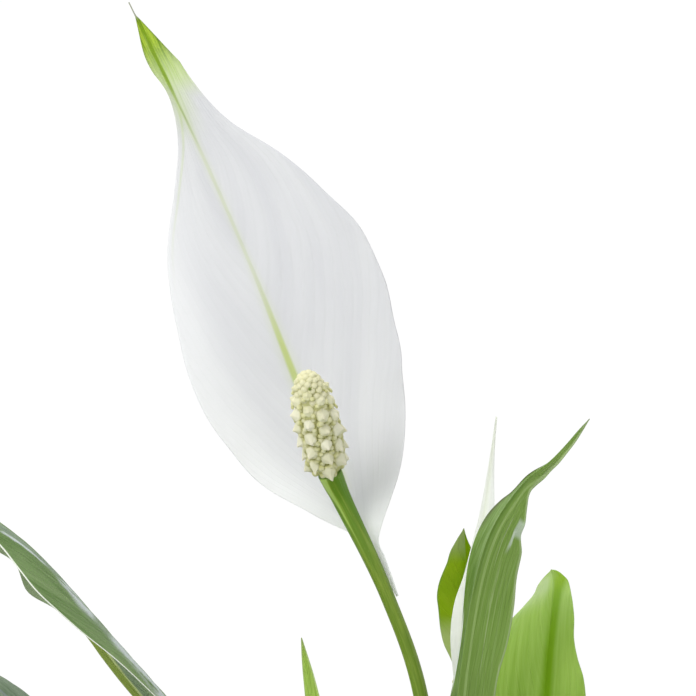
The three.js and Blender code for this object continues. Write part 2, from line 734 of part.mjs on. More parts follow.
const stalkHoles = [...leaves.map(leafHole), ...BLOOMS.map(flowerHole)];

const peaceLily = new THREE.Group();
peaceLily.add(pot(), soil(stalkHoles), plant);

export default peaceLily;
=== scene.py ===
# A potted peace lily at rest on z = 0, facing -y. The plant's curves, widths and places are in
# millimetres, and each piece is made on a finer grid than the node that it stands for.
import math
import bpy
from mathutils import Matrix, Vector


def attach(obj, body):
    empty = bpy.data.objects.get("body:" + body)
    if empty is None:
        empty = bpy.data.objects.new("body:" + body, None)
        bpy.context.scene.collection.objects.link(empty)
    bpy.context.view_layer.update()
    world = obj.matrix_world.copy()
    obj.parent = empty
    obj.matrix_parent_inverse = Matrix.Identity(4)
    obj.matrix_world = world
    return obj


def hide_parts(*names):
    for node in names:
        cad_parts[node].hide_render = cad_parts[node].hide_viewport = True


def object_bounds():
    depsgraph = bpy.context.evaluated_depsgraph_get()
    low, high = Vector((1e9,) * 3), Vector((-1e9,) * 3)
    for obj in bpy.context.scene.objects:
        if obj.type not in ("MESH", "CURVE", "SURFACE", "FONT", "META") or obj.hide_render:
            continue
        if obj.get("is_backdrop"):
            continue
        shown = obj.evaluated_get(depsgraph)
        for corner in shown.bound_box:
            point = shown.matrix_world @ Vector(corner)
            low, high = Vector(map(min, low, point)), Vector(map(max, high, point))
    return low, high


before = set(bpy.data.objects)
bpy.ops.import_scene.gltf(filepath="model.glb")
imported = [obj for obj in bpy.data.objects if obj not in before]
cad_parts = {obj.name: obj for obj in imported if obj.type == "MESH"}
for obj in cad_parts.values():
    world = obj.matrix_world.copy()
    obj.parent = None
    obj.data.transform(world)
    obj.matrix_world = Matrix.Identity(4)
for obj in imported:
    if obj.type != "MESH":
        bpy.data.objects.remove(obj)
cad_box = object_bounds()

from types import SimpleNamespace

import bpy
import numpy as np
from mathutils import Matrix, Vector

MM = 0.001

# Pot
POT_HEIGHT = 112
POT_RIM_RADIUS = 65
POT_FOOT_RADIUS = 45
POT_WALL = 4
POT_FLOOR = 5
RIM_BAND_HEIGHT = 24
RIM_BAND_STEP = 2.6
RIM_BAND_UNDERSIDE = 1.6
RIM_ROUND = 1.6
RIM_INNER_ROUND = 1
POT_FOOT_ROUND = 1.5
POT_INNER_ROUND = 1.6
POT_SIDES = 160
DRAIN_COUNT = 5
DRAIN_RADIUS = 5
DRAIN_RING_RADIUS = 27
DRAIN_SIDES = 40
DRILL_SPARE = 8
SHARP_DEGREES = 50

# Soil
SOIL_TOP = 99
SOIL_GAP = 0.4
SOIL_ROUGHNESS = 1.5
SOIL_SIDES = 150
SOIL_RINGS = 58
ROOT_DEPTH = 24
CRUMB_COUNT = 620
PERLITE_COUNT = 74
GRAIN_SHAPES = 14
SOIL_SEED = 97
STALK_CLEARANCE = 2.6

# Leaves
LEAF_HALF = 0.32
STALK_ROWS = 19
STALK_RADIUS = 1.9
NECK_RADIUS = 1.5
SHEATH_SPREAD = 0.55
RIB_DEPTH = 1.5
BLADE_FOOT = 0.1
TIP_SHARE = 0.995
DROOPING_REACH = 0.99
LEAST_WIDTH_SHARE = 0.004
MARGIN_FROM = 0.965
HALF_COLUMNS = [0, 0.02, 0.05, 0.1, 0.17, 0.26, 0.36, 0.46, 0.56, 0.66, 0.76, 0.85, 0.92]
HALF_COLUMNS += [MARGIN_FROM, 0.99, 1]
COLUMNS = np.array([[-u for u in HALF_COLUMNS[:0:-1]] + HALF_COLUMNS])
VEIN_STARTS = np.where(COLUMNS < 0, 40.5, 40)
ROUNDING = np.sqrt(1 - np.clip((abs(COLUMNS) - MARGIN_FROM) / (1 - MARGIN_FROM), 0, 1) ** 2)

# Blooms
SPATHE_THICKNESS = 0.8
SPATHE_HALF = 0.28
SHEATH_GAP = 0.75
THREAD_WIDTH = 0.16
FLORET_PITCH = 3.9
SPADIX_TWIST = 0.05
SPADIX_SIDES = 48
SPADIX_CROWDING = 0.04
SPADIX_POINT = 0.0004
FLORETS_TO = 0.86
FLORET_FOLD = 0.12
PAD_COUNT = 4
BLUNT_HEIGHT = 0.72
PORE_SHARE = 2
DOME_COUNT = 52
DOME_FROM = 0.76
STALK_SIDES = 28
STALK_RINGS = 110


# Curves and numbers


def smoothstep(x, low, high):
    t = np.clip((np.asarray(x, float) - low) / (high - low), 0, 1)
    return t * t * (3 - 2 * t)


def lerp(a, b, t):
    return a + (b - a) * t


def bell(x, width):
    return np.exp(-((x / width) ** 2))


def seeded_draw(seed):
    """A repeatable draw between two values."""
    state = [seed]

    def draw(low, high):
        state[0] = (state[0] * 16807) % 2147483647
        return lerp(low, high, state[0] / 2147483647)

    return draw


def unit(vectors):
    vectors = np.asarray(vectors, float)
    return vectors / np.linalg.norm(vectors, axis=-1, keepdims=True)


def square_to(forward, vectors):
    """Unit vectors square to others, in the directions of vectors."""
    return unit(vectors - np.sum(vectors * forward, axis=-1, keepdims=True) * forward)


def around(sides):
    return 2 * np.pi * np.arange(sides) / sides


class Path:
    """A centripetal curve through points, read at shares of its spans."""

    def __init__(self, points):
        p = np.array(points, float)
        self.spans = len(p) - 1
        self.points = np.vstack([2 * p[0] - p[1], p, 2 * p[-1] - p[-2]])

    def at(self, shares):
        place = np.clip(np.asarray(shares, float), 0, 1) * self.spans
        i = np.minimum(place.astype(int), self.spans - 1)
        w = (place - i)[:, None]
        p0, p1, p2, p3 = (self.points[i + k] for k in range(4))
        pairs = ((p0, p1), (p1, p2), (p2, p3))
        d0, d1, d2 = (np.sum((b - a) ** 2, axis=1)[:, None] ** 0.25 for a, b in pairs)
        m1 = ((p1 - p0) / d0 - (p2 - p0) / (d0 + d1) + (p2 - p1) / d1) * d1
        m2 = ((p2 - p1) / d1 - (p3 - p1) / (d1 + d2) + (p3 - p2) / d2) * d1
        return p1 + w * (m1 + w * (3 * (p2 - p1) - 2 * m1 - m2 + w * (2 * (p1 - p2) + m1 + m2)))

    def tangent(self, shares):
        near = 1e-4
        return unit(self.at(np.minimum(shares + near, 1)) - self.at(np.maximum(shares - near, 0)))


def run_through(values, shares):
    """The values at shares from 0 to 1 of a smooth run through evenly spaced values."""
    values = np.array([values[0], *values, values[-1]], float)
    spans = len(values) - 3
    place = shares * spans
    i = np.clip(place.astype(int), 0, spans - 1)
    t = place - i
    a, b, c, d = (values[i + k] for k in range(4))
    return b + 0.5 * t * (c - a + t * (2 * a - 5 * b + 4 * c - d + t * (3 * (b - c) + d - a)))


# Meshes


def add_object(name, vertices, faces, material, attributes=None):
    """A mesh object from points in millimetres, with a vector attribute for each given name."""
    mesh = bpy.data.meshes.new(name)
    vertices = np.asarray(vertices, float) * MM
    mesh.from_pydata(vertices.tolist(), [], [list(f) for f in faces])
    for key, values in (attributes or {}).items():
        layer = mesh.attributes.new(key, "FLOAT_VECTOR", "POINT")
        layer.data.foreach_set("vector", np.asarray(values, np.float32).ravel())
    mesh.update()
    mesh.polygons.foreach_set("use_smooth", [True] * len(mesh.polygons))
    for one in material if isinstance(material, list) else [material]:
        mesh.materials.append(one)
    obj = bpy.data.objects.new(name, mesh)
    bpy.context.scene.collection.objects.link(obj)
    return obj


def ring_faces(rows, size, foot=None, head=None):
    """Quads between rings of equally many points, and fans to a foot and a head point."""
    faces = []
    for r in range(rows - 1):
        for k in range(size):
            a, b = r * size + k, r * size + (k + 1) % size
            faces.append((a, b, b + size, a + size))
    last = (rows - 1) * size
    for k in range(size):
        if foot is not None:
            faces.append((foot, (k + 1) % size, k))
        if head is not None:
            faces.append((head, last + k, last + (k + 1) % size))
    return faces


def facing_out(vertices, faces):
    """The faces, turned over if together they hold a negative volume."""
    v = np.asarray(vertices, float)
    volume = 0.0
    for size in (3, 4):
        group = np.array([f for f in faces if len(f) == size])
        if len(group):
            for k in range(1, size - 1):
                a, b, c = v[group[:, 0]], v[group[:, k]], v[group[:, k + 1]]
                volume += np.einsum("ij,ij->i", a, np.cross(b, c)).sum()
    return faces if volume > 0 else [tuple(reversed(f)) for f in faces]


def dress(obj, node):
    """Lets obj stand for a node of the model."""
    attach(obj, "root")
    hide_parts(node)


def thin_sheet(node, centre, upper, under, along, vein, x, look):
    """A closed sheet in place of a node. Its upper and under faces meet along both margins. The
    attribute leaf holds the shares across and along and the vein count, and stem the millimetres
    across and along, and 1 on the upper face."""
    rows, columns = upper.shape[:2]
    back = slice(columns - 2, 0, -1)
    size = 2 * columns - 2
    ring = lambda top, low: np.concatenate([top, low[:, back]], axis=1).reshape(rows * size, -1)
    ends = [upper[i].mean(0) * 0.5 + under[i].mean(0) * 0.5 for i in (0, -1)]
    vertices = np.vstack([ring(upper, under), *ends])
    steps = np.linalg.norm(np.diff(centre, axis=0), axis=1)
    length = np.concatenate([[0], np.cumsum(steps)])[:, None]
    leaf = np.stack(np.broadcast_arrays(COLUMNS, along, vein), axis=-1)
    stem = np.stack(np.broadcast_arrays(x, length, 1.0), axis=-1)
    values = {}
    for key, top, low in (("leaf", leaf, leaf), ("stem", stem, stem * [1, 1, 0])):
        values[key] = np.vstack([ring(top, low), top[0, columns // 2], top[-1, columns // 2]])
    faces = facing_out(vertices, ring_faces(rows, size, rows * size, rows * size + 1))
    dress(add_object(f"{node}_fine", vertices, faces, look, values), node)


# Shader nodes


class Value:
    """A socket of a material. Arithmetic with it adds math nodes."""

    def __init__(self, look, socket):
        self.look, self.socket = look, socket

    __add__ = lambda self, other: self.look.math("ADD", self, other)
    __mul__ = __rmul__ = lambda self, other: self.look.math("MULTIPLY", self, other)
    __sub__ = lambda self, other: self.look.math("SUBTRACT", self, other)
    __rsub__ = lambda self, other: self.look.math("SUBTRACT", other, self)
    __truediv__ = lambda self, other: self.look.math("DIVIDE", self, other)
    __rtruediv__ = lambda self, other: self.look.math("DIVIDE", other, self)
    __abs__ = lambda self: self.look.math("ABSOLUTE", self)

    def from_whole(self):
        """How far this value is from a whole number."""
        return 0.5 - abs(self.look.math("FRACT", self) - 0.5)

    def span(self, low, high, to_low, to_high, kind="LINEAR"):
        """Runs from to_low to to_high as this value runs from low to high."""
        inputs = dict(enumerate((self, low, high, to_low, to_high)))
        return self.look.value("ShaderNodeMapRange", 0, inputs, interpolation_type=kind)

    def between(self, at_0, at_1):
        return self.span(0, 1, at_0, at_1)

    def step(self, low, high):
        """A smooth rise from 0 at low to 1 at high, or a fall where high is below low."""
        if high < low:
            return self.span(high, low, 1, 0, "SMOOTHSTEP")
        return self.span(low, high, 0, 1, "SMOOTHSTEP")

    def hump(self, a, b, c, d):
        """A smooth rise from a to b and a fall from c to d."""
        return self.step(a, b) * self.step(d, c)


class Look:
    """A material, and short ways to add nodes to it."""

    def __init__(self, name):
        self.material = bpy.data.materials.new(name)
        self.material.use_nodes = True
        self.tree = self.material.node_tree
        self.tree.nodes.clear()

    def add(self, kind, inputs=None, **settings):
        node = self.tree.nodes.new(kind)
        for key, value in settings.items():
            setattr(node, key, value)
        for key, value in (inputs or {}).items():
            socket = node.inputs[key]
            if isinstance(value, Value):
                self.tree.links.new(value.socket, socket)
            else:
                socket.default_value = tone(value) if socket.type == "RGBA" else value
        return node

    def value(self, kind, output=0, inputs=None, **settings):
        return Value(self, self.add(kind, inputs, **settings).outputs[output])

    def math(self, operation, *values, clamp=False):
        inputs = dict(enumerate(values))
        return self.value("ShaderNodeMath", 0, inputs, operation=operation, use_clamp=clamp)

    def mix(self, factor, a, b):
        return self.value("ShaderNodeMix", 2, {0: factor, 6: a, 7: b}, data_type="RGBA")

    def coat(self, color, *layers):
        """The colour under layers, each of which is a share and a tint."""
        for share, tint in layers:
            color = self.mix(share, color, tint)
        return color

    def split(self, vector):
        node = self.add("ShaderNodeSeparateXYZ", {0: vector})
        return [Value(self, socket) for socket in node.outputs]

    def parts(self, attribute):
        return self.split(self.value("ShaderNodeAttribute", "Vector", attribute_name=attribute))

    def place(self):
        return self.value("ShaderNodeTexCoord", "Object")

    def noise(self, vector, scale, detail=3.0, roughness=0.55, distortion=0.0):
        """Noise at a place, or at up to three values, each of which is a coordinate."""
        if isinstance(vector, tuple):
            vector = self.value("ShaderNodeCombineXYZ", 0, dict(enumerate(vector)))
        inputs = {"Vector": vector, "Scale": scale, "Detail": detail, "Roughness": roughness}
        return self.value("ShaderNodeTexNoise", 0, {**inputs, "Distortion": distortion})

    def cells(self, vector, scale):
        return self.value("ShaderNodeTexVoronoi", "Distance", {"Vector": vector, "Scale": scale})

    def surface(self, color, rough, specular, relief=None, depth=0, through=None, share=0):
        """The principled shader with relief of a depth in millimetres, mixed with light from behind
        where through gives its colour."""
        inputs = {"Base Color": color, "Roughness": rough, "Specular IOR Level": specular}
        normal = {}
        if relief:
            height = {"Height": relief, "Distance": depth * MM, "Strength": 1.0}
            normal = {"Normal": self.value("ShaderNodeBump", 0, height)}
        out = self.value("ShaderNodeBsdfPrincipled", 0, {**inputs, **normal})
        if through:
            glow = self.value("ShaderNodeBsdfTranslucent", 0, {"Color": through, **normal})
            out = self.value("ShaderNodeMixShader", 0, {0: share, 1: out, 2: glow})
        self.add("ShaderNodeOutputMaterial", {"Surface": out})
        return self.material


def tone(color):
    """A linear colour with alpha, from an sRGB one in 0 to 255."""
    c = np.array(color) / 255
    linear = np.where(c <= 0.04045, c / 12.92, ((c + 0.055) / 1.055) ** 2.4)
    return (*linear.tolist(), 1.0)


# Materials


def leaf_look(
    name, dark, light, under, rib, through, share=0.3, margin=(205, 215, 165), edge=0.6, shine=0.42,
    streak=0.35, gloss=0.5, rib_width=1.5, rib_reach=0.55, rib_shift=0, rib_turn=0, margin_width=0.4,
    fineness=0.9, contrast=0.42, depth=0.13, bands=(), fold=0, curl_and_highlight=None, painted_sheen=None,
):
    """A leaf's green: streaks along its side veins, a pale midrib, a thin light margin, and a stalk
    that pales towards its root. A band is (from, to, side, tint, strength). Single leaves also have
    painted shade along a fold and, mottled, on one half, with threads, a dark brim and a painted rim
    light; a pale area for a curled margin, partly painted highlight, with a painted glint; or a
    painted highlight band and a grey painted reflection beside a folded strip."""
    look = Look(name)
    u, along, vein = look.parts("leaf")
    x, y, face = look.parts("stem")
    size = abs(u)
    v = look.math("SUBTRACT", along, 1, clamp=True)
    blade = along.step(1, 1.05)

    main_vein = vein.from_whole().step(0.075, 0.015)
    fine_vein = (vein * 5).from_whole().step(0.22, 0.05)
    inner = size.step(1, 0.8)
    aside = v.span(0.58, 0.86, rib_shift, rib_shift + rib_turn)
    near_rib = abs(x - aside).step(rib_width, 0.25 * rib_width) * v.step(1, rib_reach) * 0.85
    from_margin = abs(x) * (1 / size - 1)
    edge_line = from_margin.step(margin_width, 0.4 * margin_width) * blade

    streaks = look.noise((vein * 2.2, size * 0.8), 2.6, 4, 0.6)
    lengthwise = look.noise((x * fineness, y * 0.022, u * 1.5), 1, 4, 0.6)
    patches = look.noise(look.place(), 26, 3, 0.5)
    amount = streaks * 0.6 + patches * 0.5 + (lengthwise - 0.3) * streak
    lighter = amount.step(0.35, 0.95)

    tints = []
    for low, high, reach, tint, strength in bands:
        band = v.hump(low - 0.06, low + 0.06, high - 0.06, high + 0.06)
        if reach:
            band = band * u.step(0, reach)
        tints.append((band * strength, tint))
    if fold:
        # Painted shade darkens the line of the fold.
        crease_shade = abs(x).step(0.7, 0.1) * v.hump(0.36, 0.5, 0.66, 0.78)
        hair = look.noise((x * 4.2, y * 0.03), 1, 3, 0.6)
        # Painted shade: a mottled darker tint over the half where u is below 0.
        mottle = look.noise((x * 0.8, y * 0.12), 1).step(0.35, 0.65)
        brim = u.step(-0.72, -0.92) * v.step(0.48, 0.56)
        # A near-white painted rim light along part of the margin where u is near -1.
        rim = u.hump(-0.98, -0.95, -0.87, -0.84) * v.hump(0.3, 0.325, 0.38, 0.41)
        tints += [
            (crease_shade * fold, (70, 104, 30)),
            (hair.step(0.6, 0.72) * 0.45, (168, 190, 128)),
            (hair.step(0.42, 0.3) * 0.45, (84, 116, 40)),
            (u.step(0, -0.25) * mottle.between(0.85, 0.35), (84, 122, 20)),
            (brim * 0.85, (66, 76, 16)),
            (rim * 0.9, (250, 252, 246)),
        ]

    upper = look.coat(
        dark,
        (lighter, light),
        (main_vein * inner * contrast, light),
        (fine_vein * inner * 0.12, light),
    )
    lower = look.coat(
        under,
        (lighter, light),
        (main_vein * (0.8 * contrast), light),
        (lengthwise.hump(0.6, 0.68, 0.7, 0.78) * (0.5 * streak), margin),
        (lengthwise.step(0.47, 0.36) * (0.45 * streak), rib),
    )
    green = look.coat(
        lower,
        (face, upper),
        (near_rib, rib),
        (edge_line * edge, margin),
        (v.step(0.97, 1) * 0.4, (96, 88, 44)),
        *tints,
    )
    # A pale area stands for a curled margin, partly painted highlight, and a thin painted glint runs
    # beside it.
    if curl_and_highlight:
        patch = v.hump(0.525, 0.545, 0.575, 0.595) * u.step(0.66, 0.76)
        from_glint = abs(u - v.span(0.44, 0.54, 0.4, 0.74))
        glint = from_glint.step(0.06, 0.02) * v.hump(0.485, 0.515, 0.54, 0.56)
        green = look.coat(green, (patch * 0.8, curl_and_highlight), (glint * 0.75, (214, 226, 208)))
    # Painted highlight: a pale band broken along its length, with a grey painted reflection between it
    # and the midrib.
    if painted_sheen:
        broken = look.noise((x * 0.5, y * 0.11), 1, 3, 0.6).step(0.34, 0.5)
        off_line = abs(x - v.span(0.2, 0.42, 10.4, 4.6)) / v.span(0.36, 0.44, 3.7, 0.55)
        there = v.hump(0.15, 0.22, 0.5, 0.62)
        lit = off_line.step(1.2, 0.2) * there * broken
        gaps = v.hump(0.3, 0.318, 0.334, 0.35), v.hump(0.4, 0.415, 0.425, 0.44)
        # Painted reflection: a grey strip between the midrib and the highlight band.
        painted_reflection = x.hump(0.2, 1, 3.8, 4.6) * there * v.step(0.36, 0.42)
        folded = u.step(-0.05, -0.1) * face.between(1, 0)
        outer = look.mix(v.step(0.34, 0.38), (146, 160, 66), (158, 170, 140))
        strip = look.coat(
            (136, 150, 128),
            (size.step(0.7, 0.76), outer),
            (size.hump(0.66, 0.7, 0.73, 0.77), (206, 214, 150)),
        )
        green = look.coat(
            green,
            (lit * look.math("MAXIMUM", *gaps).between(0.8, 0.2), painted_sheen),
            (painted_reflection * 0.6, (150, 162, 152)),
            (folded * 0.75, strip),
        )

    threads = look.noise((u * 7, y * 0.04), 1.6)
    stalk = look.coat(
        (88, 122, 48),
        (threads.step(0.3, 0.7), (128, 158, 74)),
        (along.step(0.62, 0.2), (150, 172, 104)),
        (along.hump(0.885, 0.92, 0.99, 1.03) * 0.55, (150, 176, 92)),
    )
    groove = (main_vein + fine_vein * 0.15) * inner
    grain = look.noise(look.place(), 1500, 2)
    relief = groove * face.between(1, -1) * blade + grain * 0.05 + streaks * 0.8
    rough = patches * 0.14 + main_vein * 0.08 + face.between(shine + 0.16, shine - 0.06)
    glow = look.coat(through, (streaks * 0.6, light), (near_rib, rib), *tints)
    wet = near_rib.span(0, 0.85, gloss, 0.25 * gloss)
    return look.surface(look.mix(blade, stalk, green), rough, wet, relief, depth, glow, share)


def spathe_look(name, white_low, white_high, midrib_width, midrib_share, tip_from):
    """A white spathe: soft streaks along faint veins, a midrib that is greener towards its foot, and,
    where tip_from is below 1, a green tip with darker threads. Painted light makes the half where u
    is above 0 and the lower part lighter, and lifts the foot to near-white against the shade there."""
    look = Look(name)
    u, t, vein = look.parts("leaf")
    x, y, face = look.parts("stem")
    size = abs(u)
    wide = abs(x)
    before_tip = lambda low, high: t.step(tip_from - low, tip_from - high)

    thin_vein = vein.from_whole().step(0.2, 0.02)
    streaks = look.noise((vein * 1.2, size * 0.7), 2, 4)
    broad = look.noise((vein * 0.24, size, look.math("SIGN", u)), 1.4, 3, 0.5)
    patches = look.noise(look.place(), 22, 3, 0.5)
    # Painted light: the half where u is above 0 is lighter, most towards the foot, and the low part too.
    lighter = u.step(0.2, 1) * t.span(0.42, 0.75, 0.85, 0.4) + t.span(0.32, 0.5, 0.16, 0)

    half = t.span(0.33, 0.62, midrib_width, midrib_width * 0.34)
    share = wide / half
    above_foot = t.step(0.27, 0.35)
    midrib = share.step(1.3, 0.4) * above_foot
    halo = share.step(3.6, 0.6) * above_foot
    strong = look.math("MAXIMUM", t.step(0.62, 0.48), before_tip(0.05, 0))
    rib_green = look.coat(
        (190, 203, 112),
        (t.step(0.48, 0.6), (198, 207, 160)),
        (before_tip(0.14, 0.02), (182, 202, 112)),
    )

    reach = t + (streaks - 0.5) * 0.05
    threads = look.noise((x * 1.6, y * 0.06), 1.3, 3, 0.6)
    tip_green = look.coat(
        (124, 160, 8),
        (threads.step(0.36, 0.6), (192, 214, 76)),
        (size.step(0.7, 1) * 0.6, (104, 132, 56)),
        (t.step(0.972, 0.984), (196, 198, 180)),
    )
    neck = before_tip(0.12, 0.02) * wide.step(4.5, 1) * 0.55
    neck = look.math("MAXIMUM", neck, reach.step(tip_from - 0.06, tip_from - 0.01))
    neck_green = look.mix(streaks.step(0.38, 0.62), (192, 214, 122), (222, 230, 196))
    trail = share.step(1.3, 0.5) * before_tip(0.055, 0.01) * t.step(0.975, 0.955)
    thin = wide.step(0.32, 0.1) * before_tip(0.13, 0.05) * t.step(0.97, 0.93)
    from_margin = wide * (1 / size - 1)
    hem = from_margin.hump(0.8, 1.3, 1.4, 1.9) * u.step(0, 0.1) * before_tip(0.3, 0.08)
    color = look.coat(
        white_low,
        (broad.step(0.3, 0.7), white_high),
        (streaks.step(0.45, 0.75) * 0.1, (206, 208, 208)),
        (look.math("MULTIPLY", lighter, 1, clamp=True), (240, 240, 240)),
        (thin_vein * 0.02, (186, 196, 178)),
        (halo * 0.14, (208, 218, 166)),
        (midrib * strong.between(0.45 * midrib_share, midrib_share), rib_green),
        (neck * 0.8, neck_green),
        (reach.step(tip_from - 0.02, tip_from + 0.045), tip_green),
        (trail * 0.85, (140, 174, 12)),
        (thin * 0.45, (140, 162, 62)),
        (hem * 0.28, (196, 214, 128)),
        # Painted light: the foot is lifted to near-white against the shade between the sheath and the
        # stalk.
        (t.step(0.27, 0.2), (252, 252, 252)),
    )

    grain = look.noise(look.place(), 1500, 2)
    relief = thin_vein * face.between(0.2, -0.2) + streaks * 0.25 + broad * 1.4 + grain * 0.08
    rough = patches.span(0.3, 0.7, 0.52, 0.62)
    return look.surface(color, rough, 0.3, relief, 0.12, color, 0.42)


def stalk_look():
    """A smooth green flower stalk with fine lengthwise threads, and painted shade and a painted
    highlight in bands round its top.
    """
    look = Look("flower_stalk_green")
    angle, share, height = look.parts("stem")
    turn = angle * (2 * math.pi)
    ring = look.math("COSINE", turn), look.math("SINE", turn), height * 0.02
    threads = look.noise(ring, 5, 4, 0.6)
    broad = look.noise(ring, 1.5, 2, 0.4)
    patches = look.noise(look.place(), 60)
    top = share.step(0.74, 0.84)
    specks = look.cells(look.place(), 900).step(0.16, 0.05)
    color = look.coat(
        (98, 128, 18),
        (threads.step(0.32, 0.7), (136, 158, 50)),
        # Painted shade and painted highlight: a dark band and a pale band round the top.
        (top * broad.step(0.56, 0.5), (88, 130, 4)),
        (top * broad.step(0.56, 0.64), (170, 200, 96)),
        (patches * 0.35, (116, 150, 44)),
        (height.step(150, 95), (134, 156, 84)),
        (specks * 0.25, (160, 186, 104)),
    )
    rough = patches.span(0.3, 0.7, 0.38, 0.5)
    return look.surface(color, rough, 0.45, threads + specks * 0.15, 0.14, (120, 160, 40), 0.12)


def spadix_look():
    """Cream florets with yellow-green between them, and a yellower crown with a dark pore."""
    look = Look("spadix_cream")
    height, share, draw = look.parts("floret")
    grain = look.noise(look.place(), 1400)
    deep = look.mix(grain, (186, 186, 118), (210, 208, 152))
    color = look.coat(
        deep,
        (height.step(0, 0.42), look.mix(draw, (226, 223, 190), (241, 238, 216))),
        (height.step(0.6, 1) * 0.5, (240, 232, 212)),
        (share.step(0.5, 0.95) * 0.5, (216, 215, 160)),
        (share.step(1.5, 1.6), (84, 104, 22)),
    )
    rough = grain.span(0.3, 0.7, 0.58, 0.74)
    return look.surface(color, rough, 0.3, grain, 0.08, (232, 230, 180), 0.25)


def clay_look():
    """Fired clay: soft mottling, turning marks, mineral bloom low down and on the rim, and fine pits."""
    look = Look("fired_clay")
    place = look.place()
    x, y, z = look.split(place)
    mottle = look.noise(place, 22, 5, 0.6)
    grain = look.noise(place, 900, 3, 0.6)
    clouds = look.noise(place, 38, 6, 0.7, 0.6)
    low = z.step(0.05, 0) * clouds.step(0.42, 0.66)
    high = z.step(0.094, 0.112) * clouds.step(0.5, 0.72)
    damp = look.math("SQRT", x * x + y * y).step(0.0618, 0.058) * z.step(0.107, 0.101)
    color = look.coat(
        (166, 94, 62),
        (mottle.step(0.35, 0.68), (192, 120, 84)),
        (grain.step(0.5, 0.8) * 0.35, (214, 156, 120)),
        (look.cells(place, 420).step(0.14, 0.04) * 0.5, (110, 58, 38)),
        (look.math("MAXIMUM", low, high) * 0.5, (222, 196, 174)),
        (damp * 0.5, (104, 60, 42)),
    )
    turning = look.noise((0, 0, z * 620), 1, 3, 0.7)
    relief = turning * 0.7 + grain * 0.5 + look.cells(place, 520).step(0.12, 0.3) * 0.35
    return look.surface(color, mottle.span(0.3, 0.7, 0.78, 0.92), 0.25, relief, 0.22)


def soil_look():
    """Damp peat: dark crumbs, brown fibres and paler dust."""
    look = Look("peat")
    place = look.place()
    lumps = look.noise(place, 160, 6, 0.7)
    fibres = look.noise(place, 520, 4, 0.7, 2.5)
    color = look.coat(
        (34, 24, 18),
        (lumps.step(0.3, 0.72), (78, 56, 40)),
        (fibres.step(0.56, 0.72) * 0.6, (118, 84, 54)),
    )
    return look.surface(color, lumps.span(0.3, 0.7, 0.8, 0.96), 0.2, lumps + fibres * 0.5, 0.9)


def perlite_look():
    """White expanded grains with pits and brown dust."""
    look = Look("perlite")
    pits = look.cells(look.place(), 1900)
    dust = look.noise(look.place(), 420, 4)
    color = look.coat(
        (230, 226, 216),
        (dust.step(0.46, 0.7), (160, 138, 112)),
        (pits.step(0.3, 0.08), (176, 166, 150)),
    )
    return look.surface(color, dust.span(0.3, 0.7, 0.75, 0.95), 0.25, pits, 0.3)


def floor_look():
    """A pale matte floor."""
    look = Look("pale_floor")
    haze = look.noise(look.place(), 3)
    color = look.mix(haze, (232, 232, 231), (238, 238, 237))
    return look.surface(color, haze.span(0.3, 0.7, 0.75, 0.85), 0.1)


# Leaves


def blade_outline(v):
    """The half width of a blade as a share of its widest: a rounded foot, and a long pointed tip."""
    return 1.06 * np.sin(np.pi * v**0.8) ** 0.8 * (1 - 0.35 * v * v)


def grown(name, azimuth, points, **shape):
    """A leaf, with the usual shape where it has none of its own."""
    usual = dict(stalk_spans=2, stalk_scale=1, reach=1, roll=(0, 0), outline=None, far_outline=None)
    usual.update(keel=0.3, arch=0.42, wave=1.6, waves=3, wave_phase=0, wave_shift=2)
    usual.update(rows=86, veins=15, sweep=0.2, quilt=0.2)
    return SimpleNamespace(name=name, azimuth=azimuth, points=points, **{**usual, **shape})


